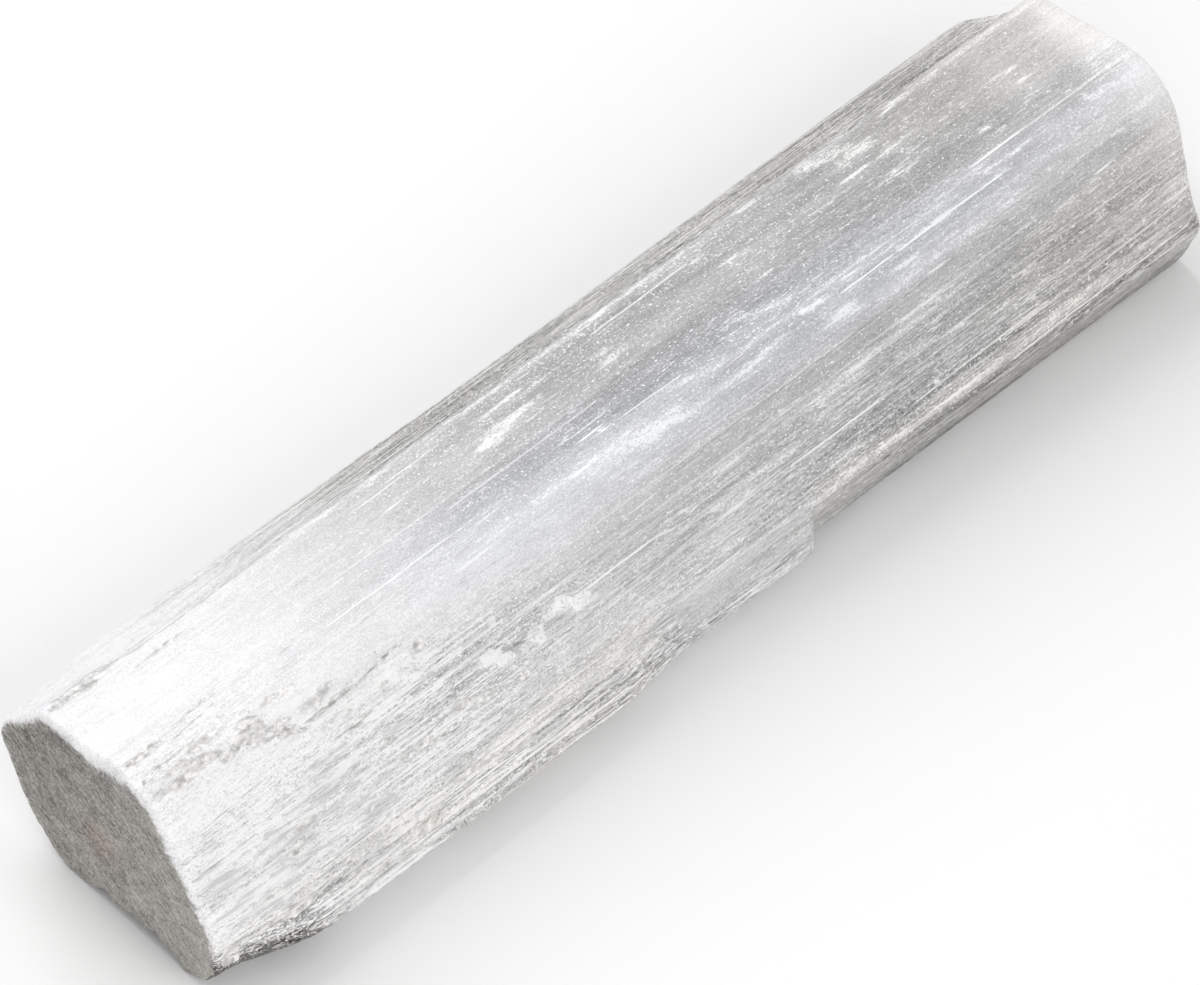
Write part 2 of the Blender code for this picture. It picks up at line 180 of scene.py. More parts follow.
# Veils, and one stroke of painted sheen on the left strip, as strokes on the surface: two ends,
# each (x along the fibres, s around the section from the left ridge), then half width and strength.
VEILS_AND_SHEEN = (
    (-43.6, 22.8, -40.4, 23.9, 1.15, 1.7), (-32.8, 28.8, -30.2, 30.2, 0.80, 1.3), (-22.4, 28.4, -18.9, 29.9, 0.80, 1.4),
    (-16.2, 6.7, -13.2, 6.6, 0.8, 1.6), (-14.2, 6, -10.2, 5.8, 0.62, 0.75), (-15.7, 4.2, -9.2, 4.3, 0.4, 0.45),
    (-14.2, 3.5, -9.2, 3.4, 0.3, 1.1), (-25.2, 3.1, -22.2, 3, 0.26, 0.9), (-6.7, 3.9, -6.2, 4, 0.4, 0.7),
    (0.7, 5.9, 2.2, 6, 0.36, 0.85), (0.7, 7.6, 3.7, 7.4, 0.55, 0.6), (0.7, 8.2, 22.2, 8.3, 1.5, 0.2),
    (20.2, 6.1, 22.7, 6.1, 0.22, 0.9), (23.2, 6.4, 23.7, 6.6, 0.45, 0.85), (21.7, 7.3, 22.2, 10.9, 0.35, 0.35),
    (20.2, 11.2, 22.7, 11.1, 0.24, 0.8), (18.2, 3.5, 19.2, 3.2, 0.36, 0.9), (14.2, 2.1, 21.2, 2, 0.3, 0.45),
    (14.7, 13.3, 17.2, 14.4, 0.62, 0.55), (17.2, 14.6, 20.7, 15.6, 0.7, 0.5),
    (1.7, 15.3, 5.2, 16.3, 0.6, 0.45), (5.2, 16.4, 8.7, 16.9, 0.5, 0.45), (-26.7, 17, -17.2, 17.1, 0.5, 0.55),
    (-17.2, 17.2, -5.7, 17.2, 0.48, 0.65), (-11.7, 18.1, -5.2, 18, 0.75, 0.5),
    (-10.2, 18.8, -3.7, 18.8, 0.95, 0.65), (-3.7, 18.7, 1.7, 18.7, 1.1, 0.95),
    (1.7, 19.5, 10.2, 19.5, 0.45, 0.45), (10.2, 19.3, 16.2, 19.2, 0.36, 0.95),
    (-10.7, 20.3, 4.7, 20.3, 0.32, 0.35), (8.7, 17.4, 20.7, 17.5, 0.28, 0.55),
    (21.2, 18.1, 23.2, 18.3, 0.5, 0.95), (-20.7, 21.8, 23.7, 21.7, 0.85, 0.24),
    (-8.7, 21.4, -4.7, 21.6, 0.55, 0.45), (-26.7, 22.9, 24.7, 23, 0.35, 0.3), (2.7, 27.1, 6.7, 27.1, 0.55, 0.6),
    (16.7, 27, 26.7, 27, 0.5, 0.6), (17.2, 28, 23.7, 28, 0.34, 0.7), (-0.2, 30.9, 2.7, 30.9, 0.62, 0.62),
    (3.7, 31.5, 5.7, 31.4, 0.55, 0.55), (7.7, 30.5, 11.7, 30.8, 0.34, 0.65),
    (18.7, 30.9, 20.7, 30.9, 0.28, 0.7), (-26.2, 34, 1.7, 34, 0.6, 0.28), (4.7, 33.6, 15.7, 33.6, 0.3, 0.5),
    (-13.7, 36.1, -9.7, 36, 0.75, 0.35), (-0.2, 36.1, 2.7, 36, 0.62, 0.7), (17.2, 35.6, 20.7, 35.7, 0.26, 0.9),
    (-26.2, 37.8, 8.7, 37.6, 0.28, 0.42), (-15.7, 40.3, -12.7, 40, 0.55, 0.7), (37.7, 1.8, 42.7, 3.3, 1, 0.72),
    (40.7, 4.5, 45.2, 4.3, 0.8, 0.62), (42.7, 3.4, 45.2, 4, 0.62, 0.5), (38.2, 6.7, 42.2, 6.8, 0.42, 1),
    (35.7, 8.1, 41.2, 8, 0.36, 0.5), (24.2, 7, 37.2, 7, 0.8, 0.18), (45.7, 6.9, 49.7, 6.9, 0.4, 0.6),
    (46.7, 7.1, 47.2, 9.7, 0.55, 0.5), (50.2, 3.5, 50.2, 5.7, 0.2, 0.7), (43.2, 10.1, 43.7, 11, 0.4, 1.3),
    (56.2, 7, 56.7, 6.6, 0.36, 0.8), (54.2, 12.7, 54.7, 13.2, 0.42, 1), (52.7, 12.9, 53.7, 13, 0.2, 0.6),
    (54.7, 11, 54.2, 12.4, 0.28, 0.5), (56.2, 4.1, 58.2, 3.8, 0.45, 0.35), (62.7, 8.3, 64.2, 8.1, 0.32, 1),
    (63.2, 10.5, 64.7, 10.2, 0.36, 1), (64.2, 11.4, 64.7, 13, 0.24, 0.7), (64.7, 14.1, 65.2, 14.1, 0.22, 0.9),
    (66.2, 15.9, 67.7, 18.9, 0.2, 0.9), (43.7, 16.9, 50.2, 16.9, 0.28, 0.45),
    (23.7, 17.3, 43.7, 17.4, 0.24, 0.6), (35.7, 18, 44.7, 18, 0.2, 0.5), (50.2, 17.1, 51.7, 19, 0.26, 0.8),
    (51.7, 17.7, 57.7, 17.8, 0.26, 0.9), (23.7, 20.5, 26.7, 20.9, 0.95, 0.9), (35.7, 18.9, 42.7, 18.9, 0.22, 1),
    (32.7, 20.5, 35.7, 20.5, 0.28, 0.9), (36.7, 20.3, 41.7, 20.3, 0.24, 0.55),
    (30.7, 22.2, 50.7, 22.1, 0.5, 0.7), (33.7, 21.3, 49.7, 21.3, 0.3, 0.45),
    (50.7, 19.1, 50.7, 22.1, 0.3, 0.55), (56.7, 21.9, 58.7, 22, 0.2, 0.95),
    (46.2, 20.4, 59.7, 20.4, 0.32, 0.45), (58.7, 18.9, 65.7, 19.3, 1.1, 0.38),
    (62.2, 21, 69.2, 21.2, 0.85, 0.45), (60.7, 23, 70.2, 23.2, 0.28, 0.6), (68.2, 18.6, 75.7, 19.2, 1.7, 0.62),
    (71.2, 14, 75.7, 13.6, 1.1, 0.85), (70.7, 16.1, 75.7, 16.6, 1.2, 0.7), (72.2, 11.8, 75.7, 11.2, 0.9, 0.6),
    (71.2, 22.2, 75.7, 22.6, 1, 0.5), (72.7, 24.7, 75.7, 25, 1, 0.4), (31.7, 25.8, 36.7, 25.8, 0.4, 0.75),
    (35.7, 25.2, 36.2, 25.6, 0.36, 0.7), (23.7, 26.8, 26.7, 26.8, 0.36, 0.65),
    (29.7, 26.9, 36.7, 26.8, 0.22, 0.6), (38.7, 26.8, 43.2, 26.9, 0.34, 0.5),
    (55.7, 26.3, 57.7, 26.3, 0.4, 0.45), (60.7, 26.4, 62.2, 26.5, 0.38, 0.45),
    (59.7, 26, 75.2, 26.1, 0.24, 0.38), (25.7, 31, 27.7, 31, 0.28, 0.55), (30.7, 30.8, 31.7, 30.8, 0.28, 0.65),
    (37.7, 31, 39.7, 30.9, 0.28, 0.85), (35.7, 31.9, 36.7, 31.9, 0.22, 0.65),
    (29.2, 29.3, 30.2, 29.1, 0.22, 0.85), (49.2, 30.3, 50.7, 30, 0.42, 0.75),
    (48.7, 31.1, 50.7, 31.2, 0.36, 0.45), (61.7, 30.4, 62.7, 30.2, 0.38, 0.7),
    (43.7, 30.6, 49.7, 30.7, 0.18, 0.45), (44.7, 32.7, 46.7, 32.5, 0.18, 0.6),
    (33.7, 35.1, 34.2, 34.6, 0.36, 1.1), (35.7, 34.2, 36.7, 34.2, 0.28, 0.5),
    (52.7, 34.7, 55.7, 34.7, 0.38, 0.4), (27.7, 38, 36.7, 38, 0.4, 0.75), (32.7, 38.2, 39.7, 38.3, 0.24, 0.8),
    (50.7, 37.8, 57.7, 37.9, 0.72, 0.75), (24.2, 37.9, 27.7, 37.8, 0.4, 0.5), (40.7, 38, 49.7, 38.1, 0.3, 0.5),
    (62.2, 37.4, 68.2, 37.4, 0.18, 0.7), (12.7, 37.8, 24.7, 37.8, 0.55, 0.6),
    (72.7, 34.5, 75.7, 34.5, 1.2, 0.5), (74.2, 28, 75.7, 28.1, 0.6, 0.5), (74.2, 5.1, 75.7, 5, 2.5, 0.6),
    (-74.2, 20.9, -66.2, 20.9, 1.5, 0.55), (-70.7, 27.3, -60.2, 27.4, 0.3, 0.75),
    (-74.7, 29, -64.2, 28.8, 0.36, 0.85), (-66.2, 30.2, -60.2, 30, 0.3, 0.85),
    (-75.7, 31, -72.2, 31.1, 0.34, 1.1), (-62.2, 29.2, -58.7, 28.9, 0.34, 0.7),
    (-61.2, 33.7, -56.7, 33.7, 0.3, 0.85), (-75.2, 36.2, -71.2, 36.1, 0.24, 0.8),
    (-59.2, 36.1, -53.2, 35.9, 0.24, 0.7), (-46.7, 35.9, -43.7, 36, 0.26, 1.4),
    (-39.7, 35.9, -36.2, 35.9, 0.36, 0.95), (-61.7, 40.9, -56.7, 40.9, 0.34, 1.1),
    (-53.2, 41, -51.2, 41, 0.32, 1.2), (-46.2, 41.1, -41.2, 41.1, 0.3, 0.95),
    (-41.7, 40.9, -34.7, 40.9, 0.26, 1.1), (-33.2, 40.8, -26.2, 40.8, 0.22, 0.8),
    (-48.2, 42, -45.7, 42, 0.26, 1.2), (-56.7, 23.2, -46.7, 22.9, 0.8, 0.35),
    (-30.7, 17.9, -24.7, 17.4, 0.4, 0.55), (-38.7, 20.3, -26.7, 20.5, 0.7, 0.25),
    (-36.2, 36.1, -30.2, 36.1, 0.5, 0.3), (-56.2, 42.5, -50.2, 42.6, 0.35, 0.7),
    # the broad stroke on the left strip near the end, from (-63.7, -5.7), is partly painted sheen
    (-30.7, 23.8, -8.2, 24.3, 0.6, 0.22), (-63.7, -5.7, -48.7, -4.6, 2.52, 0.5),
    (43.3, -4, 48.3, -2.7, 1.86, 0.5), (2, -3.5, 8, -3, 1.6, 0.25), (28, -2, 33, -1.8, 1, 0.45),
)
# Thin crisp streaks, written the same way.
STREAKS = (
    (3.2, 3.1, 17.2, 3, 0.14, 0.8), (-25.7, 11.2, -4.2, 11.2, 0.12, 0.6), (-9.2, 13.3, -4.7, 13.2, 0.12, 0.7),
    (-9.2, 14.4, -6.7, 14.4, 0.15, 1.2), (-3.2, 15.2, 4.7, 15.3, 0.09, 0.9),
    (-6.7, 15.1, -6.2, 15.1, 0.12, 1.1), (-13.2, 17.5, -11.2, 17.5, 0.16, 1.1),
    (-26.2, 26.2, 24.7, 26.1, 0.1, 0.45), (-8.7, 24.6, -6.2, 24.5, 0.09, 0.9),
    (-17.7, 28.9, -8.7, 29, 0.1, 1.5), (-8.2, 29, -6.7, 29.1, 0.08, 1), (-5.7, 28.2, -3.2, 28.5, 0.13, 1.1),
    (-6.2, 29.4, -5.2, 29.5, 0.1, 1), (-2.2, 29.2, -1.7, 29.1, 0.1, 1.1), (3.2, 27.4, 5.2, 27.3, 0.11, 0.9),
    (0.7, 32.2, 3.7, 32.3, 0.22, 1.1), (-16.2, 32.5, 11.7, 32.3, 0.12, 0.5),
    (11.7, 32.3, 24.7, 32.5, 0.13, 0.9), (-3.2, 37.3, 1.7, 37.3, 0.1, 0.9),
    (-26.2, 40.9, -20.7, 40.9, 0.12, 0.9), (-20.2, 42.5, -16.2, 42.6, 0.11, 1), (3.7, 42, 6.2, 42.1, 0.13, 0.7),
    (50.2, 16.2, 58.2, 16.2, 0.15, 1.1), (58.2, 16.3, 72.2, 16.3, 0.11, 0.6), (26.7, 19, 51.7, 19, 0.1, 1.2),
    (27.7, 17.8, 29.7, 17.9, 0.14, 0.9), (37.2, 23.1, 39.2, 23.1, 0.1, 1.1),
    (24.7, 25.6, 51.7, 25.6, 0.11, 0.45), (62.7, 25.6, 64.7, 25.6, 0.15, 1), (23.7, 32.3, 26.7, 32.2, 0.1, 0.6),
    (67.2, 32.5, 69.2, 32.4, 0.11, 0.9), (29.7, 35.7, 49.7, 35.6, 0.11, 0.8), (43.7, 36, 75.2, 35.9, 0.1, 0.6),
    (45.7, 35, 49.7, 35, 0.13, 0.6), (44.7, 39.1, 74.2, 39.2, 0.13, 0.8), (49.7, 2.1, 51.2, 2, 0.18, 1),
    (-26.7, 23.2, 24.7, 23.3, 0.08, 0.5), (-20.7, 22.1, 19.7, 22.2, 0.08, 0.4),
    (33.7, 38.2, 36.7, 38.2, 0.15, 1), (-75.7, 34.3, -64.7, 34.1, 0.22, 1.2),
    (-70.2, 34.7, -60.2, 34.5, 0.08, 0.7), (-56.2, 28.6, -52.2, 28.6, 0.22, 1),
    (-54.2, 28.2, -51.2, 28.1, 0.18, 0.9), (-52.2, 30.4, -50.2, 30.3, 0.18, 0.9),
    (-44.7, 31, -43.2, 31, 0.18, 0.9), (-70.2, 36, -66.2, 36, 0.17, 0.9), (-66.2, 36.8, -63.2, 36.8, 0.13, 0.8),
    (-66.2, 39, -63.7, 39.1, 0.13, 1.1), (-52.2, 38.8, -50.2, 38.8, 0.13, 1),
    (-50.2, 39.1, -48.7, 39.1, 0.18, 1.1), (-47.2, 38.6, -45.7, 38.5, 0.18, 0.9),
    (-55.2, 40.2, -50.2, 40.1, 0.14, 1), (-64.2, 40.1, -58.2, 40.1, 0.12, 0.8),
    (-42.2, 40, -36.2, 39.9, 0.13, 0.9), (-35.2, 42.3, -33.2, 42.3, 0.16, 0.9),
    (-75.2, 32.7, -70.2, 32.7, 0.1, 0.8), (-72.2, 33.4, -66.2, 33.2, 0.1, 0.9),
    (-58.2, 32.3, -50.2, 32.2, 0.09, 0.7), (-48.2, 33.8, -32.2, 33.8, 0.1, 0.8),
    (-46.2, 33.7, -43.2, 33.6, 0.12, 1), (-33.2, 34, -32.7, 34, 0.2, 1.2), (-68.2, 31.7, -62.2, 31.6, 0.1, 0.7),
    (-36.2, 37.3, -31.2, 37.2, 0.1, 0.7), (-46.2, 14.2, -27.2, 14.3, 0.09, 0.9),
    (-41.7, 9.7, -27.7, 9.9, 0.09, 0.6), (-52.7, 16.1, -38.2, 15.9, 0.08, 0.5),
    (-30.7, 18.2, -26.7, 18.1, 0.12, 1), (-30.7, 6.2, -29.2, 6.2, 0.12, 1.1),
    (-32.7, 3.6, -26.7, 3.5, 0.1, 0.8), (-59.7, 4.2, -45.7, 4.1, 0.08, 0.5),
    (-75.2, 37.9, -68.2, 37.8, 0.1, 0.6), (-40.2, 38.3, -33.2, 38.3, 0.12, 0.8),
    (-30.2, 42, -24.2, 41.9, 0.12, 1), (-58.2, 42.9, -52.2, 42.9, 0.12, 0.9),
    (-28.2, 36.8, -20.2, 36.9, 0.09, 0.6), (7.7, 40.7, 10.7, 40.6, 0.1, 0.4),
    (-24.2, 39.2, -16.2, 39.2, 0.09, 0.6), (59.7, 29.6, 74.2, 29.8, 0.07, 0.5),
)
# Powdery lumps that stand proud: (x, s, half length, half width, height).
LUMPS = (
    (-42.9, 22.8, 2.1, 1.2, 0.4), (-41.5, 24.1, 1.6, 1.1, 0.4), (-32.2, 28.7, 1.3, 0.9, 0.5),
    (-30.7, 29.9, 1.2, 0.9, 0.6), (-21.7, 28.4, 1.3, 0.8, 0.6), (-19.7, 29.7, 1.3, 0.9, 0.75),
    (-25.7, 29.6, 1.1, 1, 0.35), (-26.7, 29.3, 0.9, 0.7, 0.25), (-28.2, 29.9, 0.8, 0.6, 0.2),
    (-14.7, 6.6, 1.8, 0.8, 0.18), (-23.7, 28.8, 0.8, 0.6, 0.22),
)
# The grey crust of the torn fissure, in patches, two of which are also painted shade beside a lump: (x, s, half length,
# half width, strength).
CRUST_AND_LUMP_SHADE = (
    (-68.5, 0.1, 5.5, 0.45, 1.0), (-61.0, -0.5, 4.0, 0.35, 0.8), (-73.5, 0.6, 2.0, 0.8, 0.8), (-70.5, 18.6, 2.2, 0.9, 0.8), (-66.0, 16.4, 2.4, 0.7, 0.8),
    (-74.7, 16.5, 1.6, 0.8, 0.7), (-74.2, 18.3, 1.7, 0.5, 0.85), (-70.7, 15.7, 4, 0.25, 0.7),
    (-70.2, 17.1, 2, 0.6, 0.8), (-67.2, 18.2, 2.4, 0.8, 1.2), (-64.2, 19.1, 1.4, 0.4, 1.2),
    (-61.7, 18.8, 2.6, 0.9, 1.1), (-59.7, 19.9, 2.6, 0.6, 1.2), (-61.2, 17.5, 2, 0.5, 0.8),
    (-56.2, 17.2, 2.8, 0.6, 0.8), (-57.7, 20.9, 0.9, 0.7, 1.3), (-56.7, 21.9, 0.7, 0.5, 1.3),
    (-51.2, 21.4, 5.2, 0.32, 1), (-43.7, 20.9, 3, 0.22, 0.9), (-52.7, 19.9, 3.8, 0.9, 0.5),
    (-53.2, 23, 3.4, 0.8, 0.45), (-72.2, 13.3, 3.2, 0.8, 0.8), (-63.7, 12.4, 2.4, 0.35, 0.8),
    # the patches at (-45.2, 23.4) and (-39.7, 22.1), either side of the first lump, are crust and also painted shade on
    # its sides
    (-50.2, 25.2, 2.6, 0.32, 1.3), (-50.2, 23.3, 0.6, 0.5, 1), (-45.2, 23.4, 0.5, 1.1, 0.8),
    (-39.7, 22.1, 1.1, 1, 0.6), (-60.2, 31.1, 2.8, 0.5, 0.8), (-62.2, 32.9, 2.4, 0.5, 0.75),
    (-74.7, 32.7, 1.6, 0.8, 0.85), (-75.2, 26.3, 1.2, 0.6, 0.6), (-45.2, 31.8, 4.5, 0.6, 0.6),
    (-40.7, 32.6, 2.6, 0.35, 0.8), (-37.7, 30.9, 2.2, 0.9, 0.55), (-48.7, 40, 2, 0.7, 1.1),
    (-45.7, 40.5, 1, 0.7, 1.2), (-57.2, 39.5, 1.6, 0.3, 0.9), (-65.7, 38.7, 4.5, 0.5, 1),
    (-74.2, 40, 1.8, 1.5, 1.2), (-47.7, 29.1, 1.8, 0.5, 0.65), (-34.7, 32, 3.2, 0.5, 0.5),
    (-53.2, 37.7, 4, 0.4, 0.65), (-38.2, 38.3, 5, 0.4, 0.5), (-56.7, 26, 3, 0.5, 0.45),
    (-68.7, 25.4, 4, 0.4, 0.4), (-70.7, 1, 4, 0.7, 0.75), (-60.7, 3.1, 5, 0.4, 0.55),
    (-30.2, 32.8, 3, 0.5, 0.45), (-66.2, 35.7, 3, 0.3, 0.5), (-51.2, 34.6, 4, 0.5, 0.5),
    (-71.2, 23.3, 3, 0.3, 0.35), (-33.2, 39.3, 4, 0.4, 0.55), (-22.2, 35.8, 4, 0.7, 0.3),
)
# The groove that links the patches, and the ledges where a leaf of fibres has lifted.
FISSURE = ((-75.7, 17.1), (-70.7, 17.3), (-67.2, 18.2), (-64.2, 19.1), (-61.2, 19.3), (-58.7, 20.0),
           (-57.2, 21.2), (-56.2, 21.9), (-53.7, 21.4), (-50.7, 21.5), (-45.7, 21.1), (-40.7, 20.7))
LEDGES = (
    (((-38.7, 27.4), (-33.2, 27.3), (-29.2, 26.8), (-24.7, 26.7), (-19.7, 26.6)), 0.42, 2.4),
    (((-9.2, 38.1), (-0.2, 38.0), (5.2, 38.1), (12.2, 38.6)), 0.22, 1.6),
    (((-75.7, 24.5), (-68.7, 24.1), (-61.7, 23.8)), 0.16, 1.2),
    (((-52.7, 25.1), (-47.7, 25.1)), 0.22, 1.0),
    (((-75.7, 29.8), (-66.2, 29.5)), 0.20, 1.6),
    (((-64.2, 30.7), (-57.2, 30.5)), 0.24, 1.6),
    (((-58.2, 20.5), (-56.2, 22.2)), 0.35, 0.9),
    (((-65.7, 41.8), (-49.2, 41.9)), 0.20, 1.2),
    (((11.7, 23.4), (49.7, 23.4)), 0.10, 2.0),
    (((32.2, 31.7), (73.7, 32.3)), 0.08, 1.6),
)


# Thin dark seams between leaves of fibre, (x, s) to (x, s), and on the sawn face (y, z); the long line where the left
# strip meets the ridge is painted shadow in that hollow.
SEAMS_AND_SHADOW_LINE = (
    ((-75.7, 24.6), (-68.7, 24.1), (-62.2, 23.8)), ((-38.7, 27.3), (-33.2, 27.3), (-29.2, 26.8), (-24.7, 26.7), (-20.7, 26.6)),
    ((-65.2, 41.8), (-49.2, 41.9)), ((-69.7, 39.0), (-62.2, 38.4), (-57.2, 38.0)), ((-57.7, 20.5), (-56.7, 21.5), (-56.2, 22.3)),
    ((-55.7, 21.3), (-50.7, 21.6), (-45.7, 21.1), (-43.2, 20.7)), ((-73.7, 15.7), (-66.7, 15.6)), ((-68.2, 14.0), (-62.2, 13.5)),
    ((-74.7, 13.2), (-69.2, 12.9)), ((-38.7, 28.0), (-37.7, 27.5), (-36.7, 27.7), (-36.2, 28.6), (-36.7, 29.5), (-37.7, 29.7), (-38.7, 29.2)),
    ((-33.7, 29.4), (-31.7, 30.3), (-29.7, 30.9)), ((-31.2, 27.8), (-29.7, 29.1), (-29.2, 30.1)),
    ((-22.7, 28.2), (-21.2, 29.3), (-20.2, 30.3), (-18.7, 30.7)), ((-20.7, 28.1), (-19.7, 29.0)),
    ((-42.2, 32.4), (-39.7, 33.0), (-38.2, 32.5)), ((-36.7, 30.8), (-36.2, 31.8)), ((-46.2, 40.1), (-45.2, 40.8), (-45.7, 41.5)),
    ((-52.7, 25.1), (-50.2, 25.2), (-47.7, 25.1)), ((-66.7, 0.5), (-62.2, 1.2), (-56.7, 1.2), (-50.2, 1.1), (-39.7, 0.4)),
    # the long line from (-25.7, 0.0) to (68.2, 0.2), where the left strip meets the ridge, is painted shadow
    ((-74.7, 0.7), (-69.7, 1.1)), ((-25.7, -0.0), (68.2, 0.2)), ((34.7, 27.4), (51.7, 27.2)), ((11.7, 23.6), (49.7, 23.5)),
    ((13.7, 39.2), (39.7, 39.4), (75.2, 39.6)), ((32.2, 31.7), (73.7, 32.4)), ((-9.2, 38.1), (-0.2, 38.1), (5.2, 38.2), (12.2, 38.7)),
    ((58.2, 16.6), (74.2, 16.8)),
    ((-75.7, 28.6), (-66.2, 28.4)), ((-64.2, 30.6), (-57.7, 30.5)), ((-46.2, 37.8), (-36.2, 37.6)),
    ((-62.2, 36.6), (-52.2, 36.6)), ((45.2, 24.0), (59.7, 24.0)), ((-26.2, 31.7), (-6.2, 31.7)),
)
FACE_CRACKS = (((-6.6, 7.0), (-7.4, 6.0), (-8.3, 5.8), (-10.0, 7.1), (-12.5, 8.7), (-14.0, 9.2)),
               ((-9.4, 14.6), (-10.2, 13.3), (-11.2, 12.7), (-13.2, 12.9), (-15.2, 14.0)),
               ((9.8, 12.0), (7.0, 9.4), (5.8, 9.0)))


# Broad lighter and darker areas: (x, s, half length, half width, change of brightness).
TONES = (
    (-66.0, 25.5, 8.0, 1.5, 0.03), (5.0, 8.0, 12.0, 5.0, -0.025), (50.0, 18.5, 18.0, 1.5, -0.03), (74.0, 14.0, 4.0, 10.0, 0.03),
    (-5.0, 30.0, 14.0, 5.0, -0.02), (45.0, 35.0, 25.0, 4.0, -0.025), (50.0, 40.5, 20.0, 2.0, -0.03), (72.0, 5.0, 3.5, 4.0, 0.05),
    (20.0, 42.0, 9.0, 2.5, 0.06), (74.0, 12.0, 4.0, 14.0, 0.05), (73.5, 30.0, 3.0, 10.0, 0.04), (2.0, 40.5, 8.0, 2.5, -0.05), (-45.0, 30.0, 12.0, 5.0, -0.03),
    (-15.0, 5.0, 12.0, 8.0, -0.02), (10.0, 8.0, 14.0, 6.0, -0.02), (0.0, 19.0, 12.0, 3.0, 0.03),
    # the darker patch at (-42.0, 24.0), round the first lump, is painted shade
    (-42.0, 24.0, 6.0, 2.6, -0.08), (-68.0, 37.0, 7.0, 0.8, -0.05), (-45.0, 39.6, 20.0, 0.8, -0.10), (-20.0, 41.2, 12.0, 0.7, 0.06),
    (-68.0, 21.2, 8.0, 1.6, 0.05), (-62.0, 27.4, 9.0, 0.8, 0.05), (-68.0, 29.4, 8.0, 1.2, 0.10),
    (-68.0, 34.4, 8.0, 0.7, 0.09), (-53.0, 23.3, 7.0, 1.2, 0.04), (-72.0, 25.8, 4.0, 0.8, -0.05),
    (-54.0, 25.6, 7.0, 1.0, -0.04), (-60.0, 31.8, 6.0, 1.0, -0.07), (-70.0, 32.4, 6.0, 0.8, -0.05),
    (-40.0, 32.4, 10.0, 1.6, -0.06), (-48.0, 37.6, 13.0, 0.9, -0.08), (-68.0, 38.6, 8.0, 1.0, -0.06),
    (-30.0, 38.0, 10.0, 0.8, -0.05), (-32.0, 22.5, 20.0, 2.2, 0.05), (-40.0, 28.4, 5.0, 1.6, -0.04),
    (-15.0, 14.5, 22.0, 2.4, -0.05), (20.0, 14.5, 22.0, 2.4, -0.09), (52.0, 14.5, 18.0, 2.2, -0.06),
    (45.0, 22.4, 28.0, 1.3, 0.07), (65.0, 21.0, 10.0, 3.0, 0.06), (47.0, 6.0, 12.0, 4.0, 0.04),
    (62.0, 4.0, 14.0, 3.0, 0.06), (55.0, 10.0, 12.0, 2.5, 0.04), (-15.0, 6.0, 6.0, 2.4, 0.05),
    (2.0, 33.0, 6.0, 1.5, 0.06), (20.0, 34.5, 14.0, 1.6, -0.06), (42.0, 36.6, 30.0, 1.0, -0.08),
    (55.0, 29.5, 14.0, 3.0, -0.02), (-28.0, -3.5, 9.0, 2.0, -0.05), (27.0, -2.0, 6.0, 1.2, -0.08),
    # the dark row at (-30.0, 0.2) continues the painted shadow where the left strip meets the ridge
    (-30.0, 0.2, 14.0, 0.5, -0.10), (-67.5, 0.2, 4.0, 0.9, -0.34), (-55.0, 34.0, 8.0, 0.8, 0.03),
    (-22.0, 26.2, 14.0, 0.9, -0.04), (-20.0, 31.0, 10.0, 1.2, -0.01), (-67.0, 36.4, 8.0, 0.6, 0.06), (-69.0, 31.0, 6.0, 0.5, 0.08), (-58.0, 19.0, 8.0, 2.0, -0.03),
    (36.0, -4.0, 5.0, 2.0, 0.05), (50.0, -1.0, 12.0, 1.0, -0.04),
)


def seams(a, b, lines):
    """Signed distance to the nearest of the lines, and a weight that fades away from it."""
    best = np.full(a.shape, 9.0)
    sign = np.ones(a.shape)
    for line in lines:
        for (a0, b0), (a1, b1) in zip(line[:-1], line[1:]):
            da, db = a1 - a0, b1 - b0
            t = np.clip(((a - a0) * da + (b - b0) * db) / (da * da + db * db), 0, 1)
            ra, rb = a - a0 - t * da, b - b0 - t * db
            d = np.hypot(ra, rb)
            nearer = d < best
            best = np.where(nearer, d, best)
            sign = np.where(nearer, np.sign(rb * da - ra * db), sign)
    return sign * best, np.exp(-(best / 0.7) ** 2)


def stroke(x, s, x0, s0, x1, s1, half):
    """How strongly a stroke covers each point, 0 to 1."""
    dx, ds = x1 - x0, s1 - s0
    length = math.hypot(dx, ds)
    ux, us = dx / length, ds / length
    along = (x - x0) * ux + (s - s0) * us
    across = -(x - x0) * us + (s - s0) * ux
    soft = min(2.2, 0.35 * length) + 0.3
    over = np.maximum(np.maximum(-along, along - length), 0.0) / soft
    return np.exp(-1.3 * (across / (half * 1.15)) ** 2 - 2.0 * over ** 2)


def streaks(x, s):
    """Distance across the nearest thin streak over its half width, signed, and its strength."""
    ws = s + 0.07 * value_noise(x / 3.0, s / 5.0, 75)
    best, across_it, strength_there = np.full(x.shape, 99.0), np.full(x.shape, 4.0), np.zeros(x.shape)
    for x0, s0, x1, s1, half, strength in STREAKS:
        length = math.hypot(x1 - x0, s1 - s0)
        ux, us = (x1 - x0) / length, (s1 - s0) / length
        along = (x - x0) * ux + (ws - s0) * us
        across = (-(x - x0) * us + (ws - s0) * ux) / half
        over = np.maximum(np.maximum(-along, along - length), 0.0)
        d = np.abs(across) + over / 0.4
        nearer = d < best
        best = np.where(nearer, d, best)
        across_it = np.where(nearer, np.clip(across, -4, 4), across_it)
        on = strength * np.clip(1.0 - over / 0.8, 0, 1) * np.clip(4.0 - np.abs(across), 0, 1)
        strength_there = np.where(nearer, on, strength_there)
    return across_it, strength_there


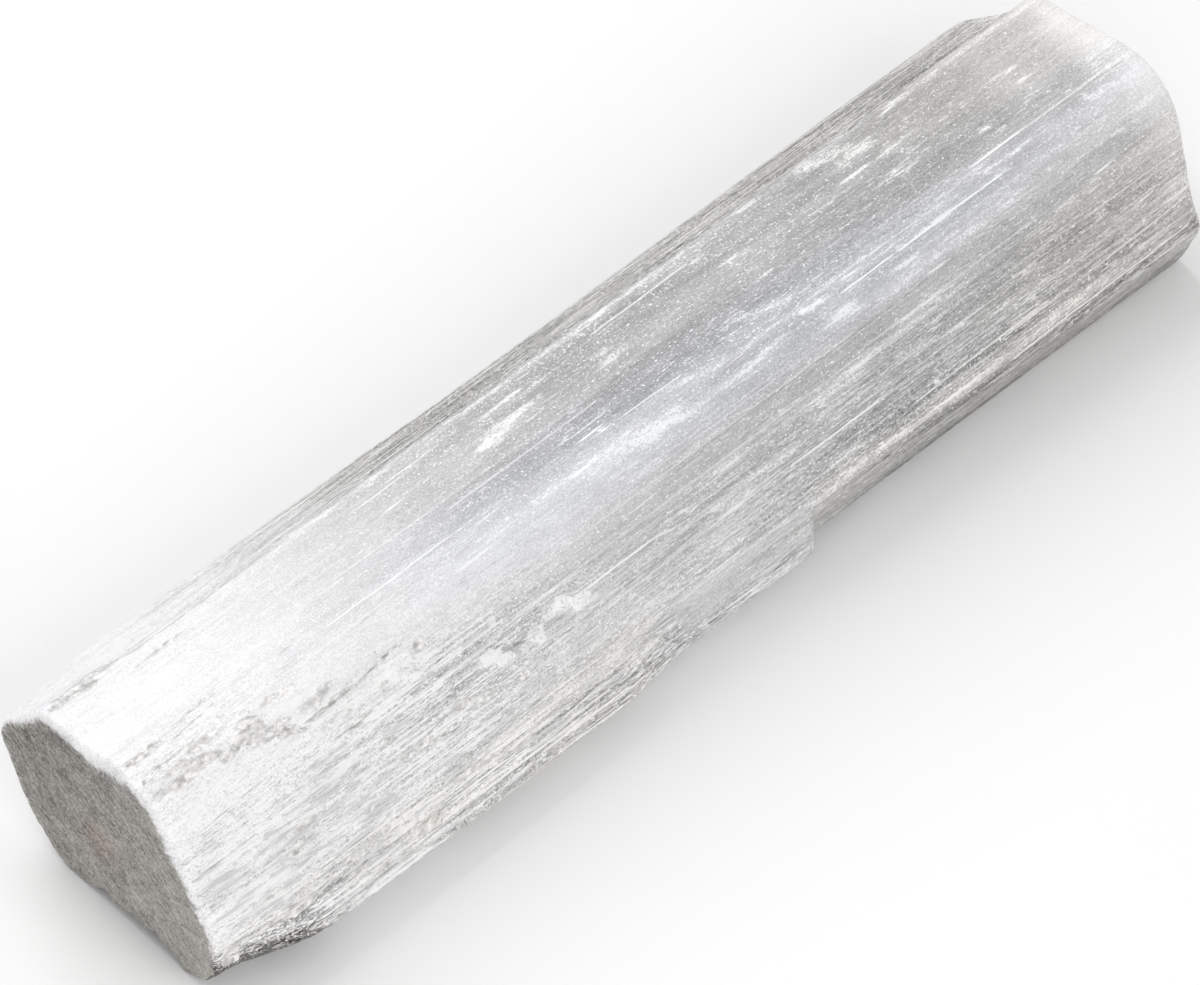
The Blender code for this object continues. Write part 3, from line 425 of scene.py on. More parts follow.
def patches(x, s):
    wx = x + 1.2 * layered(x / 1.9, s / 1.1, 43, 3, 0.6)
    ws = s + 0.55 * layered(x / 1.7, s / 1.0, 44, 3, 0.6)
    total = np.zeros_like(x)
    for px, ps, half_x, half_s, strength in CRUST_AND_LUMP_SHADE:
        r2 = ((wx - px) / half_x) ** 2 + ((ws - ps) / half_s) ** 2
        total = np.maximum(total, strength * np.exp(-1.1 * r2 ** 1.5))
    return np.clip(total, 0.0, 1.0)


def path_offset(x, path):
    """The path's s at x, and how far inside its two ends x lies (0..1)."""
    px, ps = zip(*path)
    soft = min(2.0, 0.3 * (px[-1] - px[0]))
    inside = np.clip((x - px[0]) / soft, 0, 1) * np.clip((px[-1] - x) / soft, 0, 1)
    return np.interp(x, px, ps), inside


def add_splinters(h, x, s, rng, count, where, length, width, height):
    """Raise (or cut) long thin leaves of fibre: steep on one side, blunt at one end."""
    (xa, xb), (sa, sb) = where
    row = x[:, 0]
    for _ in range(count):
        cx, cs = rng.uniform(xa, xb), rng.uniform(sa, sb)
        ln = length[0] * (length[1] / length[0]) ** rng.random()
        w = width[0] * (width[1] / width[0]) ** rng.random()
        a = rng.uniform(*height) * (1.0 if rng.random() < 0.62 else -0.8)
        tilt = rng.normal(0.0, 0.035)
        blunt, side = rng.choice([-1, 1]), rng.choice([-1, 1])
        rows = np.flatnonzero(np.abs(row - cx) < ln)
        if len(rows) < 2:
            continue
        r = slice(rows[0], rows[-1] + 1)
        p = (x[r] - cx) / ln * blunt
        q = (s[r] - cs - tilt * (x[r] - cx)) / w * side
        cross = np.where(np.abs(q) < 1, np.minimum((1 + q) * 0.5, (1 - q) * 3.0), 0.0)
        ends = np.clip(1 + p, 0, 1) ** 0.8 * np.clip((1 - p) / 0.12, 0, 1)
        h[r] += a * cross * ends


def relief(x, s, z):
    """Height of the fibrous surface over the smooth section, in millimetres."""
    rng = np.random.default_rng(11)
    h = 0.12 * value_noise(s / 6.5, x / 80.0, 1) + 0.05 * value_noise(s / 2.6, x / 55.0, 2)
    ridged = 1.0 - np.abs(layered(s / 1.1, x / 30.0, 3, 2))
    h = h + 0.030 * (ridged - 0.7) + 0.012 * value_noise(s / 0.5, x / 14.0, 5)
    h = h + 0.006 * value_noise(s / 0.45, x / 2.4, 6) - 0.05
    h = h - 0.6 * np.exp(-((s - 9.0) / 3.6) ** 2) * smooth(-48.0, -74.0, x)
    rough = np.zeros_like(h)
    add_splinters(rough, x, s, rng, 300, ((-75, 14), (14, 44)), (4.0, 22.0), (0.18, 0.40), (0.006, 0.020))
    add_splinters(rough, x, s, rng, 70, ((-75, -36), (24, 46)), (4.0, 18.0), (0.28, 0.7), (0.012, 0.032))
    add_splinters(rough, x, s, rng, 500, ((10, 76), (14, 46)), (1.5, 9.0), (0.20, 0.5), (0.01, 0.05))
    add_splinters(rough, x, s, rng, 340, ((-75, 76), (-14, 14)), (1.5, 8.0), (0.20, 0.5), (0.01, 0.045))
    add_splinters(rough, x, s, rng, 200, ((-75, -40), (-14, 14)), (1.0, 5.0), (0.22, 0.6), (0.02, 0.07))
    add_splinters(rough, x, s, rng, 800, ((-75, 76), (66, 105)), (2.0, 12.0), (0.3, 1.0), (0.04, 0.15))
    h = h + rough
    # the fissure: patches of torn, crumbly crust, and the groove that links them
    crust_and_shade = patches(x, s)
    crumbs = layered(x / 0.7, s / 0.5, 9, 3, 0.7)
    h = h - crust_and_shade * (0.07 + 0.16 * crumbs)
    ps, inside = path_offset(x, FISSURE)
    deep = np.interp(x, (-75, -66, -60, -58, -55.5, -50, -40), (0.02, 0.05, 0.10, 0.32, 0.30, 0.10, 0.04))
    d = np.abs(s - ps - 0.3 * value_noise(x / 1.1, s * 0 + 3.3, 8)) / 0.30
    h = h - np.exp(-d ** 2) * deep * np.clip(inside * 3, 0, 1) * (0.8 + 0.5 * crumbs)
    # lifted leaves end in a ledge; beyond it the surface lies lower and climbs back
    for path, depth, reach in LEDGES:
        ps, inside = path_offset(x, path)
        under = s - ps - 0.12 * value_noise(x / 1.7, s * 0 + 1.1, 10)
        fall = np.clip(under / 0.25, 0, 1) * np.exp(-np.maximum(under, 0) / reach)
        h = h - depth * fall * inside
    lumps = np.zeros_like(h)
    for lx, ls, half_x, half_s, high in LUMPS:
        wx = x + 0.5 * layered(x / 1.6, s / 1.2, 21, 2)
        ws = s + 0.5 * layered(x / 1.5, s / 1.1, 22, 2)
        r2 = ((wx - lx) / half_x) ** 2 + ((ws - ls) / half_s) ** 2
        body = np.clip(1.0 - r2, 0, 1) ** 0.6
        lumps = np.maximum(lumps, high * body * (0.75 + 0.45 * layered(x / 0.7, s / 0.5, 23, 2)))
    h = h + lumps
    # small chips along the two upper edges of the left strip
    for at, reach, deep in ((0.8, 0.8, 0.22), (-0.5, 0.6, 0.16)):
        chip = np.clip(layered(x / 2.4, s / 0.9, 24 + int(at > 0), 3, 0.6) - 0.12, 0, 1)
        h = h - deep * 2.0 * chip * np.exp(-((s - at) / reach) ** 2)
    return h, crust_and_shade, lumps


def veils_and_highlights(x, s):
    # each fibre is shifted a little along itself, so that the ends of a veil are ragged
    wx = x + 0.6 * layered(x / 3.0, s / 0.8, 41, 2) + 1.3 * value_noise(s / 0.42, x / 9.0, 45)
    ws = s + 0.34 * layered(x / 2.2, s / 0.8, 42, 3, 0.6)
    clear = np.ones_like(x)
    for x0, s0, x1, s1, half, strength in VEILS_AND_SHEEN:
        k = np.clip(strength * stroke(wx, ws, x0, s0, x1, s1, half), 0, 0.97)
        clear = clear * (1.0 - k)
    # the left ridge is white along its edge, and so is the ridge over the right step: partly bruised fibres, partly a
    # painted highlight along the two edges
    ridge = np.exp(-((s - 1.25 - 0.35 * smooth(20.0, 60.0, x) - 0.18 * value_noise(x / 3.0, s * 0, 46)) / 0.45) ** 2)
    ridge = ridge * (0.64 + 0.50 * layered(x / 4.0, s * 0, 47, 3)) * smooth(-52.0, -38.0, x)
    low = np.exp(-((s - 38.5 - 0.3 * value_noise(x / 4.0, s * 0, 48)) / 0.60) ** 2)
    low = low * (0.20 + 0.40 * layered(x / 3.0, s / 0.8, 49, 3)) * smooth(12.0, 14.5, x)
    # a painted bright rim of light along the outline of the left tip
    tip = 0.5 * np.exp(-((s + 9.6) / 0.8) ** 2)
    clear = clear * (1.0 - np.clip(ridge, 0, 0.95)) * (1.0 - np.clip(low, 0, 0.9)) * (1.0 - tip)
    return 1.0 - clear


def dark_heel_corner(x, s):
    """The darker, warmer corner at the near end of the heel, low down towards the base."""
    low = 39.2 + 0.20 * (x + 75.5) + 0.7 * value_noise(x / 2.5, s / 1.5, 56)
    return smooth(low, low + 1.6, s) * smooth(-60.0, -67.0, x) * smooth(80.0, 70.0, s)


def splintered(x, s):
    """Where the surface is all shreds of fibre: the lower near part, the strip and the hidden sides."""
    d = smooth(-8.0, -42.0, x + 6.0 * value_noise(s / 4.0, x / 20.0, 67)) * smooth(19.0, 27.0, s)
    d = np.maximum(d, 0.75 * smooth(15.0, 5.0, x) * smooth(38.5, 39.5, s))
    d = np.maximum(d, 0.65 * smooth(0.9, 0.1, s) * smooth(-66.0, -50.0, x))
    d = np.maximum(d, 0.45 * smooth(-50.0, -70.0, x) * smooth(10.0, 16.0, s))
    d = np.maximum(d, 0.30 * smooth(24.0, 30.0, s))
    d = d * (1.0 - 0.9 * smooth(-11.0, -7.0, x) * smooth(14.0, 10.0, x) * smooth(36.8, 38.0, s) * smooth(43.0, 41.0, s))
    return np.clip((d + 0.10) * (1.0 - 0.80 * dark_heel_corner(x, s)), 0.0, 1.0)


def speckles(x, s):
    """Where small white specks crowd; on the splintered lower near part they are partly painted glints."""
    d = 0.35 + 0.35 * smooth(-34.0, -18.0, x) * smooth(45.0, 25.0, x) * smooth(24.0, 14.0, s)
    d = d + 0.45 * smooth(0.0, -25.0, x) * smooth(22.0, 27.0, s) + 0.45 * smooth(0.9, 0.0, s) + 0.4 * np.exp(-((s - 36.5) / 2.0) ** 2)
    d = d - 0.30 * smooth(-20.0, -40.0, x) * smooth(13.0, 9.0, s)
    d = d - 0.35 * smooth(-13.0, -8.0, x) * smooth(14.0, 10.0, x) * smooth(36.8, 38.0, s) * smooth(43.0, 41.0, s)
    return np.clip(d + 0.30 * layered(x / 8.0, s / 3.0, 58, 2), 0.0, 1.0)


def whiteness_and_sheen(x, s):
    """How bright the fibres are before any marks: whitest at the near end, where they have
    parted, grey and sounder along the far half. Near the end, on the upper face and the left
    strip, the white is partly painted sheen, and the bright band along the middle is painted sheen."""
    wx = x + 5.0 * value_noise(s / 6.0, x / 30.0, 51)
    upper = smooth(17.0, 11.0, s)
    # near the end on the upper face the extra white is partly painted sheen
    near_top_with_sheen, near_low = smooth(-10.0, -62.0, wx), smooth(12.0, -62.0, wx)
    w = 0.48 + (0.35 * near_top_with_sheen * upper + 0.37 * near_low * (1.0 - upper)) + 0.04 * smooth(-25.0, -50.0, x) * smooth(13.0, 20.0, s)
    w = w + 0.07 * smooth(14.0, 24.0, s) * smooth(-30.0, -55.0, x) * smooth(38.0, 32.0, s)
    # a brighter band along the middle of the side: painted silky sheen
    w = w + 0.09 * np.exp(-((s - 18.5) / 3.8) ** 2) * smooth(-48.0, -15.0, x) * (1.0 - 0.3 * smooth(45.0, 70.0, x))
    w = w + 0.05 * smooth(24.0, 30.0, s) * smooth(-45.0, -20.0, x) * smooth(25.0, 5.0, x)
    w = w - 0.06 * smooth(38.2, 39.8, s) * smooth(80.0, 60.0, s)
    w = w - 0.09 * smooth(11.0, 14.0, x) * smooth(38.6, 39.4, s)
    w = w - (0.21 - 0.07 * smooth(20.0, 50.0, x)) * smooth(-45.0, -15.0, x) * smooth(0.9, 0.1, s)
    w = w + 0.07 * smooth(-10.0, -4.0, x) * smooth(14.0, 11.0, x) * smooth(36.8, 38.0, s)
    # the left strip whiter towards the near end: partly painted sheen
    w = w + 0.06 * smooth(-30.0, -60.0, x) * smooth(0.9, 0.1, s)
    w = w - 0.18 * smooth(-56.0, -68.0, x + 3.0 * value_noise(s / 2.0, x / 9.0, 54)) * smooth(42.6, 44.2, s) * smooth(80.0, 70.0, s)
    w = w - 0.10 * smooth(43.0, 46.0, s) * smooth(80.0, 70.0, s)
    w = w - 0.20 * smooth(37.6, 39.2, s + 0.6 * value_noise(x / 2.5, s / 1.5, 55)) * smooth(-56.0, -64.0, x) * smooth(80.0, 70.0, s)
    w = w - 0.48 * dark_heel_corner(x, s)
    w = w + 0.05 * layered(x / 34.0, s / 3.2, 52, 3)
    w = w - 0.09 * smooth(25.0, 38.0, x) * smooth(64.0, 55.0, x) * smooth(16.0, 12.0, s)
    w = w + 0.04 * smooth(58.0, 64.0, x) * smooth(16.0, 12.0, s) + 0.04 * smooth(37.0, 38.5, s) * smooth(20.0, 0.0, x)
    wx, ws = x + 2.0 * layered(x / 6.0, s / 1.2, 59, 2), s + 0.5 * layered(x / 8.0, s / 1.5, 60, 2)
    for tx, ts, half_x, half_s, change in TONES:
        w = w + change * np.exp(-((wx - tx) / half_x) ** 2 * 0.8 - ((ws - ts) / half_s) ** 2 * 0.8)
    w = w - 0.10 * smooth(38.0, 40.0, s) * smooth(-5.0, -25.0, x) * smooth(80.0, 70.0, s)
    w = w + 0.26 * smooth(69.5, 76.0, x + 1.5 * value_noise(s / 3.0, x * 0, 53)) * smooth(40.0, 8.0, s)
    return np.clip(w, 0.0, 1.0)


def warmth_and_cool_sheen(x, s):
    """0 for the cool middle band, whose cool tint is painted reflection in the silky sheen; 1 for the warm grey edges.
    """
    w = 0.45 + 0.35 * smooth(20.0, 70.0, x) - 0.10 * smooth(-30.0, -60.0, x)
    # the cool tint along the middle band is painted reflection
    w = w - 0.55 * np.exp(-((s - 17.5 - 0.03 * (x - 20.0)) / 6.0) ** 2) * smooth(-45.0, -20.0, x)
    w = w + 0.45 * smooth(-45.0, -20.0, x) * smooth(0.9, 0.1, s)
    w = w + 0.30 * smooth(34.0, 38.0, s) * (1.0 - 0.9 * smooth(-18.0, -6.0, x) * smooth(14.0, 12.0, x))
    w = w + 0.5 * dark_heel_corner(x, s) + 0.12 * layered(x / 20.0, s / 4.0, 57, 2)
    return np.clip(w, 0.0, 1.0)


def blurred(a, rows, cols):
    for _ in range(2):
        for axis, reach in ((0, rows), (1, cols)):
            total = a.copy()
            for k in range(1, reach + 1):
                if axis:
                    total = total + np.roll(a, k, 1) + np.roll(a, -k, 1)
                else:
                    total = total + np.vstack([a[:1].repeat(k, 0), a[:-k]]) + np.vstack([a[k:], a[-1:].repeat(k, 0)])
            a = total / (2 * reach + 1)
    return a


def build_log():
    xs = stations()
    rings = [ring(x) for x in xs]
    y = np.array([r[0][:, 0] for r in rings])
    z = np.array([r[0][:, 1] for r in rings])
    s = np.array([r[1] for r in rings])
    x = np.repeat(xs[:, None], y.shape[1], 1)
    lean = -1.1 * smooth(HALF - 9.0, HALF - 1.0, x) * smooth(-9.5, -17.0, y)
    px = x + lean
    # outward normals in the plane of the section
    ty, tz = np.roll(y, -1, 1) - np.roll(y, 1, 1), np.roll(z, -1, 1) - np.roll(z, 1, 1)
    d = np.hypot(ty, tz)
    ny, nz = tz / d, -ty / d
    mid = np.sign((ny * (y - y.mean(1, keepdims=True)) + nz * (z - z.mean(1, keepdims=True))).sum())
    ny, nz = ny * mid, nz * mid
    h, crust_and_shade, lumps = relief(x, s, z)
    # the resting face only loses material, and the box stays the solid's
    foot = smooth(0.2, 3.0, z)
    h = h * foot - (1.0 - foot) * 0.05 * np.abs(layered(s / 1.4, x / 16.0, 61, 2))
    y2, z2 = y + ny * h, np.maximum(z + nz * h, 0.0)
    under = 0.42 * smooth(6.9, 6.3, y2) + 0.55 * smooth(2.1, 1.5, y2) + 0.5 * smooth(0.5, -5.0, y2)
    under = under * (1.0 - 0.75 * smooth(-8.0, -13.5, y2)) + 1.7 * np.clip(layered(y / 1.3, x / 4.0, 62, 2, 0.6) + 0.02, -0.3, 0.5)
    under = np.maximum(under, 0.0) * smooth(-54.0 + 4.0 * value_noise(y / 2.2, x * 0, 66), -70.0, x)
    z2 = z2 + under * smooth(5.0, 0.5, z2)
    side = np.stack([px, y2, z2], -1)

    def rim(row, radius, end, angles):
        """Rings that round the rim off, from the last full section to the sawn face."""
        centre = np.array([row[:, 1].mean(), row[:, 2].mean()])
        inward = centre - row[:, 1:]
        inward = inward / np.hypot(*inward.T)[:, None]
        face = row[:, 0] * 0 + end * HALF + (row[:, 0] - row[:, 0].mean())
        out = []
        for a in angles:
            a = math.radians(a)
            yz = row[:, 1:] + inward * (radius * (1.0 - math.cos(a)))[:, None]
            out.append(np.stack([face - end * radius * (1.0 - math.sin(a)), yz[:, 0], np.maximum(yz[:, 1], 0.0)], -1))
        return out

    around = s[0]
    near_radius = 0.22 + 0.78 * smooth(-12.5, -10.0, around) * smooth(46.0, 41.0, around)
    near_radius = near_radius + 0.30 * np.exp(-((around + 7.0) / 3.0) ** 2)
    near_radius = near_radius * (1.0 + 0.35 * value_noise(around / 3.1, around * 0, 71))
    around = s[-1]
    far_radius = 0.42 + 0.65 * smooth(28.0, 37.0, around) * smooth(70.0, 60.0, around)
    far_radius = far_radius * (1.0 + 0.25 * value_noise(around / 2.7, around * 0, 72))
    near = rim(side[0], near_radius, -1, (0, 24, 44, 60, 73, 84))
    far = rim(side[-1], far_radius, 1, (0, 20, 38, 54, 70, 84))

    def cap(edge, seed, end, steps):
        """Rings from the rim to the middle of a sawn face, with the saw's shallow relief."""
        cy, cz = edge[:, 1].mean(), edge[:, 2].mean()
        out = []
        for f in steps:
            yy, zz = cy + (edge[:, 1] - cy) * f, cz + (edge[:, 2] - cz) * f
            across = 0.5 * yy + 0.87 * zz
            rough = 0.05 * layered(yy / 2.4, zz / 2.4, seed, 3) + 0.035 * value_noise(across / 0.55, (yy - zz) / 9.0, seed + 5)
            k = smooth(1.0, 0.9, f)
            out.append(np.stack([edge[:, 0].mean() + (edge[:, 0] - edge[:, 0].mean()) * f + end * rough * k, yy, zz], -1))
        return out

    near_cap = cap(near[-1], 81, -1, [0.99, 0.975] + list(np.linspace(0.955, 0.03, 31)))
    far_cap = cap(far[-1], 91, 1, (0.985, 0.96, 0.92, 0.86, 0.78, 0.67, 0.53, 0.36, 0.18, 0.05))
    loops = near_cap[::-1] + near[::-1] + list(side) + far + far_cap
    co = np.array(loops)                                   # (rows, N, 3)
    rows, n = co.shape[:2]
    first, last = len(near_cap) + len(near), len(far_cap) + len(far)

    def spread(a, ends):
        return np.concatenate([np.repeat(a[:1], first, 0) * 0 + ends[0], a, np.repeat(a[-1:], last, 0) * 0 + ends[1]])

    v, d, split = warmth_and_cool_sheen(x, s), speckles(x, s), splintered(x, s)
    veil_and_highlight = veils_and_highlights(x, s)
    white_and_sheen = whiteness_and_sheen(x, s)
    to_face = np.array([0.0, 0.03, 0.14, 0.32, 0.55, 0.80])
    near_face = np.array([0.0, 0.04, 0.16, 0.34, 0.54, 0.70])
    front = np.concatenate([np.ones(len(near_cap) - 4), [0.98, 0.94, 0.88, 0.82], near_face[::-1]])
    worn = np.concatenate([np.ones(len(near_cap) - 5), [0.97, 0.90, 0.80, 0.68, 0.56], near_face[::-1] * 0.75])
    lip = smooth(0.5, 3.0, s[0]) * smooth(41.0, 38.0, s[0])
    front = front[:, None] * (1.0 - lip[None, :]) + worn[:, None] * lip[None, :]
    end_mask = np.concatenate([
        front, np.zeros((len(xs), n)),
        np.repeat(np.concatenate([to_face, np.ones(len(far_cap))])[:, None], n, 1)])
    # the relief's high-pass, which the stone's colour uses as painted light and shade
    edge = np.clip((h - blurred(h, 2, 3)) / 0.085, -1.5, 1.5)
    streak, streaked = streaks(x, s)
    seam_and_shadow, near_seam = seams(x, s + 0.10 * value_noise(x / 1.3, s * 0, 63), SEAMS_AND_SHADOW_LINE)
    face = np.concatenate([np.array(near_cap[::-1])[..., 1:], np.array(near[::-1])[..., 1:]])
    crack, near_crack = seams(face[..., 0], face[..., 1] + 0.15 * value_noise(face[..., 0] / 0.8, face[..., 1] * 0, 64), FACE_CRACKS)
    rust = np.exp(-(((face[..., 0] - 0.9) / 4.2) ** 2 + ((face[..., 1] - 10.2) / 4.6) ** 2))
    rust = rust + 0.7 * np.exp(-(((face[..., 0] + 9.5) / 3.0) ** 2 + ((face[..., 1] - 2.0) / 2.4) ** 2))
    # the sawn face's base tone, sloping across the face: partly painted shade
    end_tone_and_shade = np.clip(0.55 - 0.024 * face[..., 0] - 0.016 * (face[..., 1] - 12.0), 0.0, 1.2)

    def joined_rows(front, middle, behind=0.0):
        return np.concatenate([front, middle, np.full((last, n), behind)])

    attrs = {
        "edge": spread(edge, (0.0, 0.0)),
        "warm": np.concatenate([np.repeat(v[:1], first, 0), v, np.repeat(v[-1:], last, 0)]),
        "seam_and_shadow": joined_rows(crack, seam_and_shadow, 9.0),
        "nearseam": joined_rows(near_crack, near_seam),
        "streak": joined_rows(np.full_like(face[..., 0], 4.0), streak, 4.0),
        "streaked": joined_rows(np.zeros_like(face[..., 0]), streaked),
        "split": np.concatenate([np.repeat(split[:1], first, 0), split, np.repeat(split[-1:], last, 0)]),
        "specks": np.concatenate([np.repeat(d[:1], first, 0), d, np.repeat(d[-1:], last, 0)]),
        "rust": joined_rows(rust, np.zeros_like(x)),
        "end_tone_and_shade": joined_rows(end_tone_and_shade, np.full_like(x, 0.6), 0.6),
        "veil_and_highlight": np.concatenate([np.repeat(veil_and_highlight[:1], first, 0), veil_and_highlight, np.repeat(veil_and_highlight[-1:], last, 0)]),
        "white_and_sheen": np.concatenate([np.repeat(white_and_sheen[:1], first, 0), white_and_sheen, np.repeat(white_and_sheen[-1:], last, 0)]),
        "crust": spread(np.clip(crust_and_shade, 0, 1), (0.0, 0.0)),
        "lump": spread(np.clip(lumps / 0.3, 0, 1), (0.0, 0.0)),
        "sawn": end_mask,
        "height": spread(h, (0.0, 0.0)),
        "around": np.concatenate([np.repeat(s[:1], first, 0), s, np.repeat(s[-1:], last, 0)]),
    }

    # the same place as the solid
    lo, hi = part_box("selenite_log")
    want = (np.array(lo) + np.array(hi)) * 500.0
    have = (co.reshape(-1, 3).min(0) + co.reshape(-1, 3).max(0)) / 2
    shift = np.array([want[0] - have[0], want[1] - have[1], 0.0])
    co = (co + shift) * 0.001

    verts = co.reshape(-1, 3)
    i = np.arange(rows - 1)[:, None] * n + np.arange(n)[None, :]
    j = np.arange(rows - 1)[:, None] * n + (np.arange(n)[None, :] + 1) % n
    quads = np.stack([i, j, j + n, i + n], -1).reshape(-1, 4)
    centre0, centre1 = co[0].mean(0), co[-1].mean(0)
    verts = np.vstack([verts, centre0, centre1])
    k = np.arange(n)
    fan0 = np.stack([(k + 1) % n, k, np.full(n, rows * n)], -1)
    fan1 = np.stack([(rows - 1) * n + k, (rows - 1) * n + (k + 1) % n, np.full(n, rows * n + 1)], -1)
    mesh = bpy.data.meshes.new("satin_spar")
    faces = quads.tolist() + fan0.tolist() + fan1.tolist()
    mesh.from_pydata(verts.tolist(), [], faces)
    for name, a in attrs.items():
        at = mesh.attributes.new(name, "FLOAT", "POINT")
        values = np.concatenate([a.reshape(-1), [a[0].mean(), a[-1].mean()]]).astype(np.float32)
        at.data.foreach_set("value", values)
    mesh.update()
    mesh.validate()
    # faces point out
    import bmesh
    bm = bmesh.new()
    bm.from_mesh(mesh)
    bmesh.ops.recalc_face_normals(bm, faces=bm.faces[:])
    bm.to_mesh(mesh)
    bm.free()
    mesh.shade_smooth()
    mesh.set_sharp_from_angle(angle=math.radians(55))
    obj = bpy.data.objects.new("satin_spar", mesh)
    bpy.context.scene.collection.objects.link(obj)
    surface = {"x": x, "s": s, "co": side + shift, "ny": ny, "nz": nz}
    return obj, surface


# ======================================================================= small loose pieces
def place_on(surface, x0, s0):
    """The surface point nearest to (x, s): position, the way along s, and outwards."""
    i = int(np.argmin(np.abs(surface["x"][:, 0] - x0)))
    j = int(np.argmin(np.abs(surface["s"][i] - s0)))
    p = surface["co"][i, j]
    n = np.array([0.0, surface["ny"][i, j], surface["nz"][i, j]])
    t = np.cross(n, [1.0, 0.0, 0.0])
    return p, t, n


def joined(name, verts, faces):
    mesh = bpy.data.meshes.new(name)
    mesh.from_pydata([tuple(c * 0.001 for c in v) for v in verts], [], faces)
    mesh.validate()
    mesh.update()
    obj = bpy.data.objects.new(name, mesh)
    bpy.context.scene.collection.objects.link(obj)
    return obj


def build_slivers(surface):
    """Laths of fibre that have come half away: bedded in the log, lifting at one end."""
    rng = np.random.default_rng(23)
    verts, faces = [], []
    zones = (
        (190, (-74, 10), (24, 43), (1.0, 5.5), (0.07, 0.20)),
        (70, (-74, -50), (28, 45), (2.0, 7.0), (0.08, 0.22)),
        (60, (-74, 74), (-1.6, 1.4), (0.8, 3.5), (0.06, 0.14)),
        (50, (12, 74), (36.5, 42), (0.8, 3.5), (0.06, 0.14)),
        (60, (-72, 60), (12, 26), (0.8, 3.5), (0.05, 0.13)),
        (90, (-72, 72), (66, 104), (1.5, 7.0), (0.08, 0.22)),
    )
    for count, xr, sr, lr, wr in zones:
        for _ in range(count):
            x0, s0 = rng.uniform(*xr), rng.uniform(*sr)
            if s0 < 0 and xr[0] < -70 and not sr[0] > 50:
                s0 = max(s0, -1.6)
            p, t, n = place_on(surface, x0, s0)
            if p[2] < 0.8 or (x0 < -58.0 and 39.0 < s0 < 60.0):
                continue
            ln = lr[0] * (lr[1] / lr[0]) ** rng.random()
            p[0] = min(max(p[0], -75.2 + ln / 2), 74.6 - ln / 2)
            w = rng.uniform(*wr)
            lift = rng.uniform(0.0, 0.22) * min(1.0, ln / 4.0)
            yaw = rng.normal(0.0, 0.05)
            along = np.array([1.0, 0.0, 0.0]) * rng.choice([-1.0, 1.0])
            base = len(verts)
            steps = 5
            for k in range(steps + 1):
                u = k / steps
                width = w * (0.25 + 0.75 * math.sin(math.pi * min(0.93, 0.15 + 0.78 * u)) ** 0.8)
                thick = 0.55 * w * (0.35 + 0.65 * (1 - u))
                c = p + along * (u - 0.5) * ln + t * yaw * (u - 0.5) * ln + n * (lift * u * u - 0.02)
                for du, dn in ((-1, 0.0), (0, 1.0), (1, 0.0), (0, -1.0)):
                    verts.append(c + t * du * width + n * dn * thick)
            for k in range(steps):
                for m in range(4):
                    a, b = base + 4 * k + m, base + 4 * k + (m + 1) % 4
                    faces.append((a, b, b + 4, a + 4))
            faces.append((base, base + 3, base + 2, base + 1))
            e = base + 4 * steps
            faces.append((e, e + 1, e + 2, e + 3))
    return joined("fibre_slivers", verts, faces)


GRAIN = ((1, 0, 0), (-1, 0, 0), (0, 1, 0), (0, -1, 0), (0, 0, 1), (0, 0, -1))
GRAIN_FACES = ((4, 0, 2), (4, 2, 1), (4, 1, 3), (4, 3, 0), (5, 2, 0), (5, 1, 2), (5, 3, 1), (5, 0, 3))


def build_crust(surface):
    """Crumbs of powdery gypsum, thick on the lumps and along the torn fissure."""
    rng = np.random.default_rng(37)
    verts, faces = [], []

    def grain(x0, s0, size, sink=0.3):
        p, t, n = place_on(surface, x0, s0)
        p = p + np.array([x0 - p[0], 0.0, 0.0])
        spin = rng.uniform(0, math.pi)
        e1 = np.array([1.0, 0, 0]) * math.cos(spin) + t * math.sin(spin)
        e2 = np.cross(n, e1)
        d = size * rng.uniform(0.6, 1.3, 3)
        base = len(verts)
        for a, b, c in GRAIN:
            j = rng.uniform(-0.25, 0.25, 3) * size
            verts.append(p + e1 * (a * d[0] + j[0]) + e2 * (b * d[1] + j[1]) + n * (c * d[2] * 0.7 + j[2] * 0.5 + size * (0.35 - sink)))
        faces.extend(tuple(base + q for q in f) for f in GRAIN_FACES)

    for lx, ls, half_x, half_s, high in LUMPS:
        for _ in range(int(34 * half_x * half_s) + 8):
            a, r = rng.uniform(0, 2 * math.pi), rng.uniform(0, 1.15) ** 0.7
            grain(lx + half_x * r * math.cos(a), ls + half_s * r * math.sin(a), rng.uniform(0.05, 0.16))
    px, ps = zip(*FISSURE)
    for _ in range(420):
        x0 = rng.uniform(-75.0, -44.0)
        s0 = float(np.interp(x0, px, ps)) + rng.normal(0.0, 1.3 if x0 < -54 else 0.7)
        grain(x0, s0, rng.uniform(0.05, 0.15))
    for _ in range(380):
        grain(rng.uniform(-75, 12), rng.uniform(12, 42), rng.uniform(0.04, 0.10))
    for _ in range(260):
        grain(rng.uniform(14, 74), rng.uniform(34.5, 38.5), rng.uniform(0.04, 0.11))
    for _ in range(260):
        grain(rng.uniform(-74, 74), rng.uniform(-9.0, 2.0), rng.uniform(0.04, 0.09))
    for _ in range(260):
        grain(rng.uniform(-20, 70), rng.uniform(2.0, 34.0), rng.uniform(0.035, 0.07))
    return joined("powder_crust", verts, faces)


